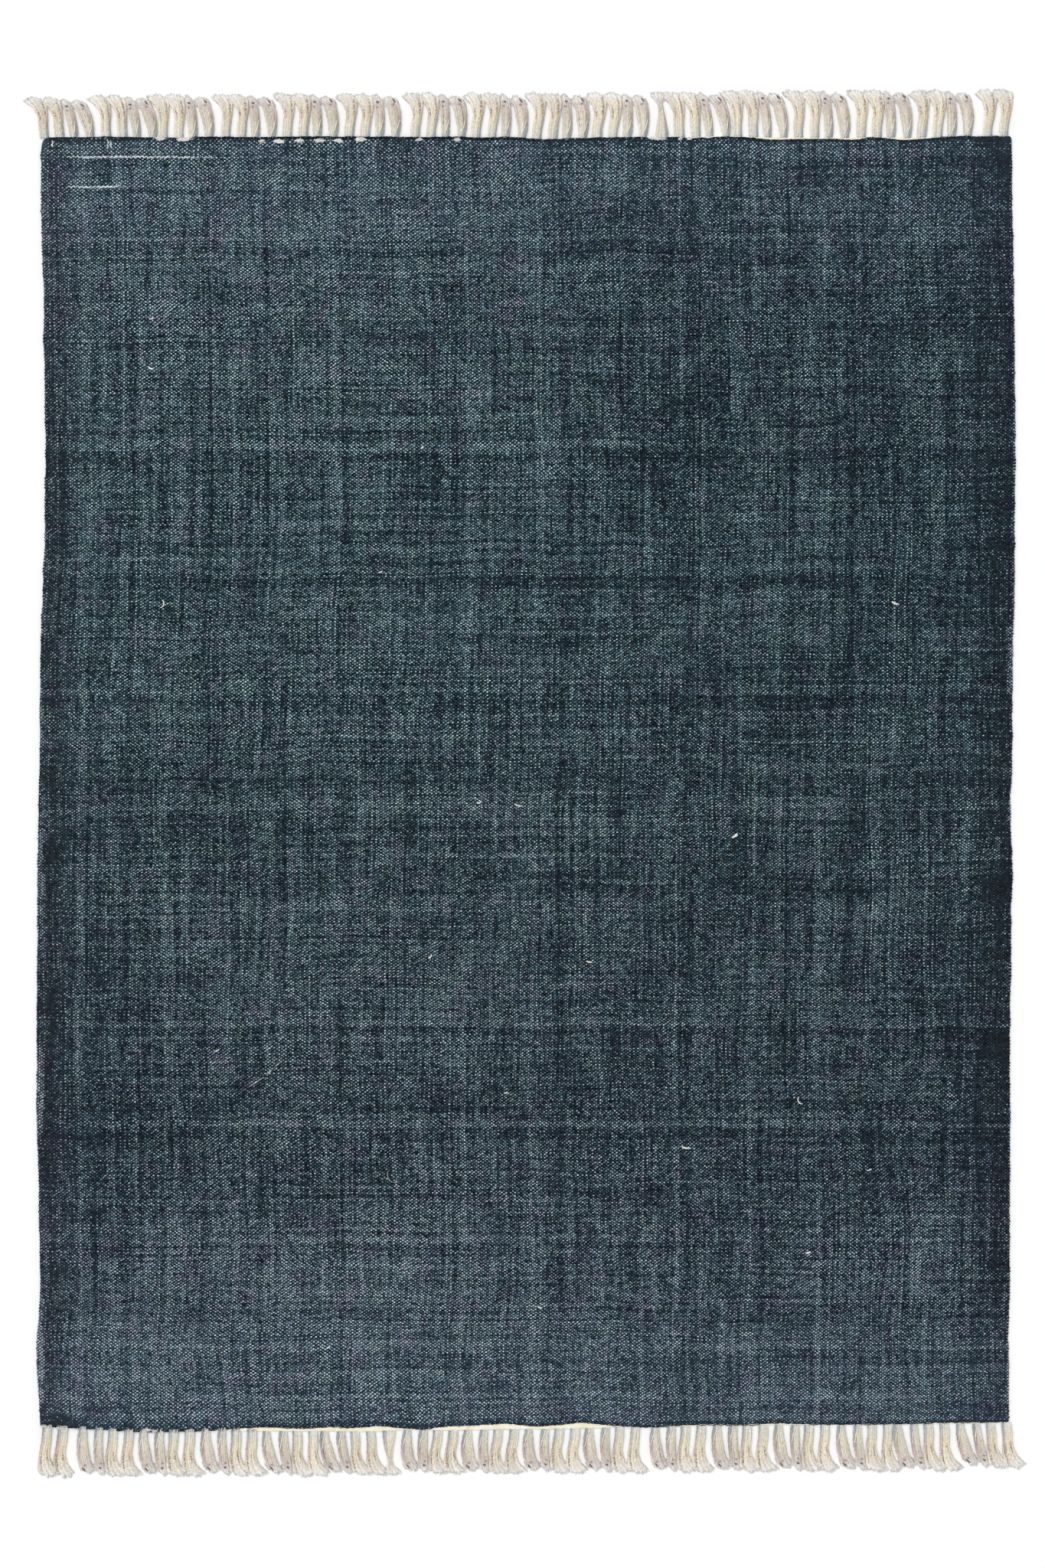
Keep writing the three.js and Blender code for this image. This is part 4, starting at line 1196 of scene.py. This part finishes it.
# Undyed cotton pick: cool white, with a little of the indigo rubbed on to it here and there.
undyed_pick, tree = new_material("undyed_cotton_pick")
place = add_node(tree, "ShaderNodeTexCoord").outputs["Object"]
rubbed = add_node(tree, "ShaderNodeTexNoise", {"Vector": place, "Scale": 330.0, "Detail": 1.0})
colour = add_node(tree, "ShaderNodeValToRGB", {"Fac": rubbed}, [
    (0.32, "#7f919c"), (0.44, "#c6d3da"), (0.58, "#f4f9fb")])
finish_cotton(tree, colour, {"Roughness": 0.92, "Specular IOR Level": 0.1})

rng = np.random.default_rng(11)
lumps, lump_fluff = [], []
for row in FLOATS:
    long = row["stop"] - row["start"]
    for level in (-1, 0, 1):
        reach = long / 2 * (1 - 0.25 * abs(level)) * rng.uniform(0.85, 1.1)
        t = np.linspace(-1, 1, 8)
        across = (row["start"] + row["stop"]) / 2 + rng.uniform(-0.1, 0.1) * long + reach * t
        along = row["along"] + level * row["thick"] * 0.3 + 0.3 * np.sin(5 * t + level)
        lumps.append((above_cloth(across, along, 0.7 - 0.5 * t**2),
                      dict(girth=row["thick"] * 0.33 * (1 - 0.5 * t**4) * rng.uniform(0.8, 1.2, 8))))
        lump_fluff.append(above_cloth(across, along, 0.8)[1:-1])
floats = add_strands("heading_floats", "head", lumps, white_fibre, sides=7)

snakes = []
for row in PALE_PICKS:
    across = np.arange(row["start"], row["stop"], 1.1)
    along = row["along"] + 0.9 * np.cos(2 * math.pi * across / 6.2) + wobble(14, 6, 0.35, across)
    left_to_go = (row["stop"] - across) / (row["stop"] - row["start"])
    sunk = 1.6 * np.clip(1 - left_to_go / 0.4, 0, 1) + wobble(15, 4, 0.3, across)
    snakes.append(above_cloth(across, along, 0.6 + 0.6 * np.cos(2 * math.pi * across / 3.1) - sunk))
for row in PALE_WARPS:
    along = np.arange(row["start"], row["stop"], 1.1)
    across = row["across"] + 1.0 * np.cos(2 * math.pi * along / 7.2) + wobble(16, 4, 0.6, along)
    waver = 0.5 * np.cos(2 * math.pi * along / 4.8)
    snakes.append(above_cloth(across, along, 0.6 + waver - row["sunk"]))
pale_picks = add_threads("pale_picks", snakes, [1.35] * len(snakes), undyed_pick, beads=0.35)

rng = np.random.default_rng(12)
bits = []
for row in LINT:
    t = np.linspace(-0.5, 0.5, 9)
    bend = row["turn"] + row["curl"] * t
    step = row["long"] / 8
    across = row["across"] + step * (np.cumsum(np.cos(bend)) - np.cos(bend).sum() / 2)
    along = row["along"] + step * (np.cumsum(np.sin(bend)) - np.sin(bend).sum() / 2)
    bits.append(above_cloth(across, along, 0.35))
lint = add_threads("lint", bits, [row["thick"] for row in LINT], white_fibre, beads=0.3)

for end, seed in (("head", 41), ("foot", 42)):
    rng = np.random.default_rng(seed)
    x = np.arange(-680, 680, 5.0 if end == "foot" else 11.0) + rng.uniform(-2, 2)
    x += rng.uniform(-2, 2, len(x))
    starts = np.stack([x, cloth_end(end, x) - 0.3, np.full_like(x, 2.6)], -1)
    ways = np.stack([rng.normal(0, 0.8, len(x)), np.ones_like(x), 0.2 + 0 * x], -1)
    if end == "head":
        lumpy = np.concatenate(lump_fluff)
        starts = np.vstack([starts, lumpy])
        ways = np.vstack([ways, rng.normal(0, 1, lumpy.shape)])
    add_fibres(f"heading_fluff_{end}", end, starts, ways, 0.55, 3, seed)

# ---- The floor, light and camera -------------------------------------------------------------
# The rug lies on a plain white studio floor in soft light from above and a little to the left,
# and the camera looks straight down on it.

studio_white, tree = new_material("white_studio_floor")
ray = add_node(tree, "ShaderNodeLightPath")
lit = add_node(tree, "ShaderNodeBsdfDiffuse", {"Color": linear("#f4f4f4")})
glow = add_node(tree, "ShaderNodeEmission", {"Color": (1, 1, 1, 1), "Strength": 0.1})
seen = add_node(tree, "ShaderNodeAddShader", {0: lit, 1: glow})
mixed = add_node(tree, "ShaderNodeMixShader", {0: ray.outputs["Is Camera Ray"], 1: lit, 2: seen})
add_node(tree, "ShaderNodeOutputMaterial", {"Surface": mixed})
FLOOR_HALF = 12000
FLOOR_DROP = 0.2  # keeps the floor clear of the rug's underside
floor_corners = [(FLOOR_HALF * x, FLOOR_HALF * y, -FLOOR_DROP)
                 for x, y in ((-1, -1), (1, -1), (1, 1), (-1, 1))]
floor = add_piece("studio_floor", floor_corners, [(0, 1, 2, 3)], studio_white)

scene = bpy.context.scene
scene.view_settings.view_transform = "Standard"
world = bpy.data.worlds.new("studio")
scene.world = world
world.use_nodes = True
world.node_tree.nodes.clear()
ray = add_node(world.node_tree, "ShaderNodeLightPath")
strength = add_node(world.node_tree, "ShaderNodeMapRange",
                    {"Value": ray.outputs["Is Camera Ray"], "To Min": 0.68, "To Max": 1.0})
sky = add_node(world.node_tree, "ShaderNodeBackground",
               {"Color": (1, 1, 1, 1), "Strength": strength})
add_node(world.node_tree, "ShaderNodeOutputWorld", {"Surface": sky})

key_light = bpy.data.lights.new("soft_key", "SUN")
key_light.energy = 1.15
key_light.angle = math.radians(50)
key = bpy.data.objects.new("soft_key", key_light)
key.rotation_euler = (math.radians(-14), math.radians(-24), 0)
bpy.context.collection.objects.link(key)

LENS = 85
SENSOR = 36
FRAME_HIGH = 2259  # millimetres of floor from the top to the bottom of the picture
CAMERA_OVER = (-3.9, -2.8)  # the place on the cloth right below the camera
camera_data = bpy.data.cameras.new("camera")
camera_data.lens = LENS
camera_data.sensor_width = SENSOR
camera_data.clip_end = 100
camera = bpy.data.objects.new("camera", camera_data)
camera.location = ((CAMERA_OVER[0] + shift[0]) * MM, (CAMERA_OVER[1] + shift[1]) * MM,
                   (FRAME_HIGH * LENS / SENSOR + CLOTH_THICK) * MM)
bpy.context.collection.objects.link(camera)
scene.camera = camera
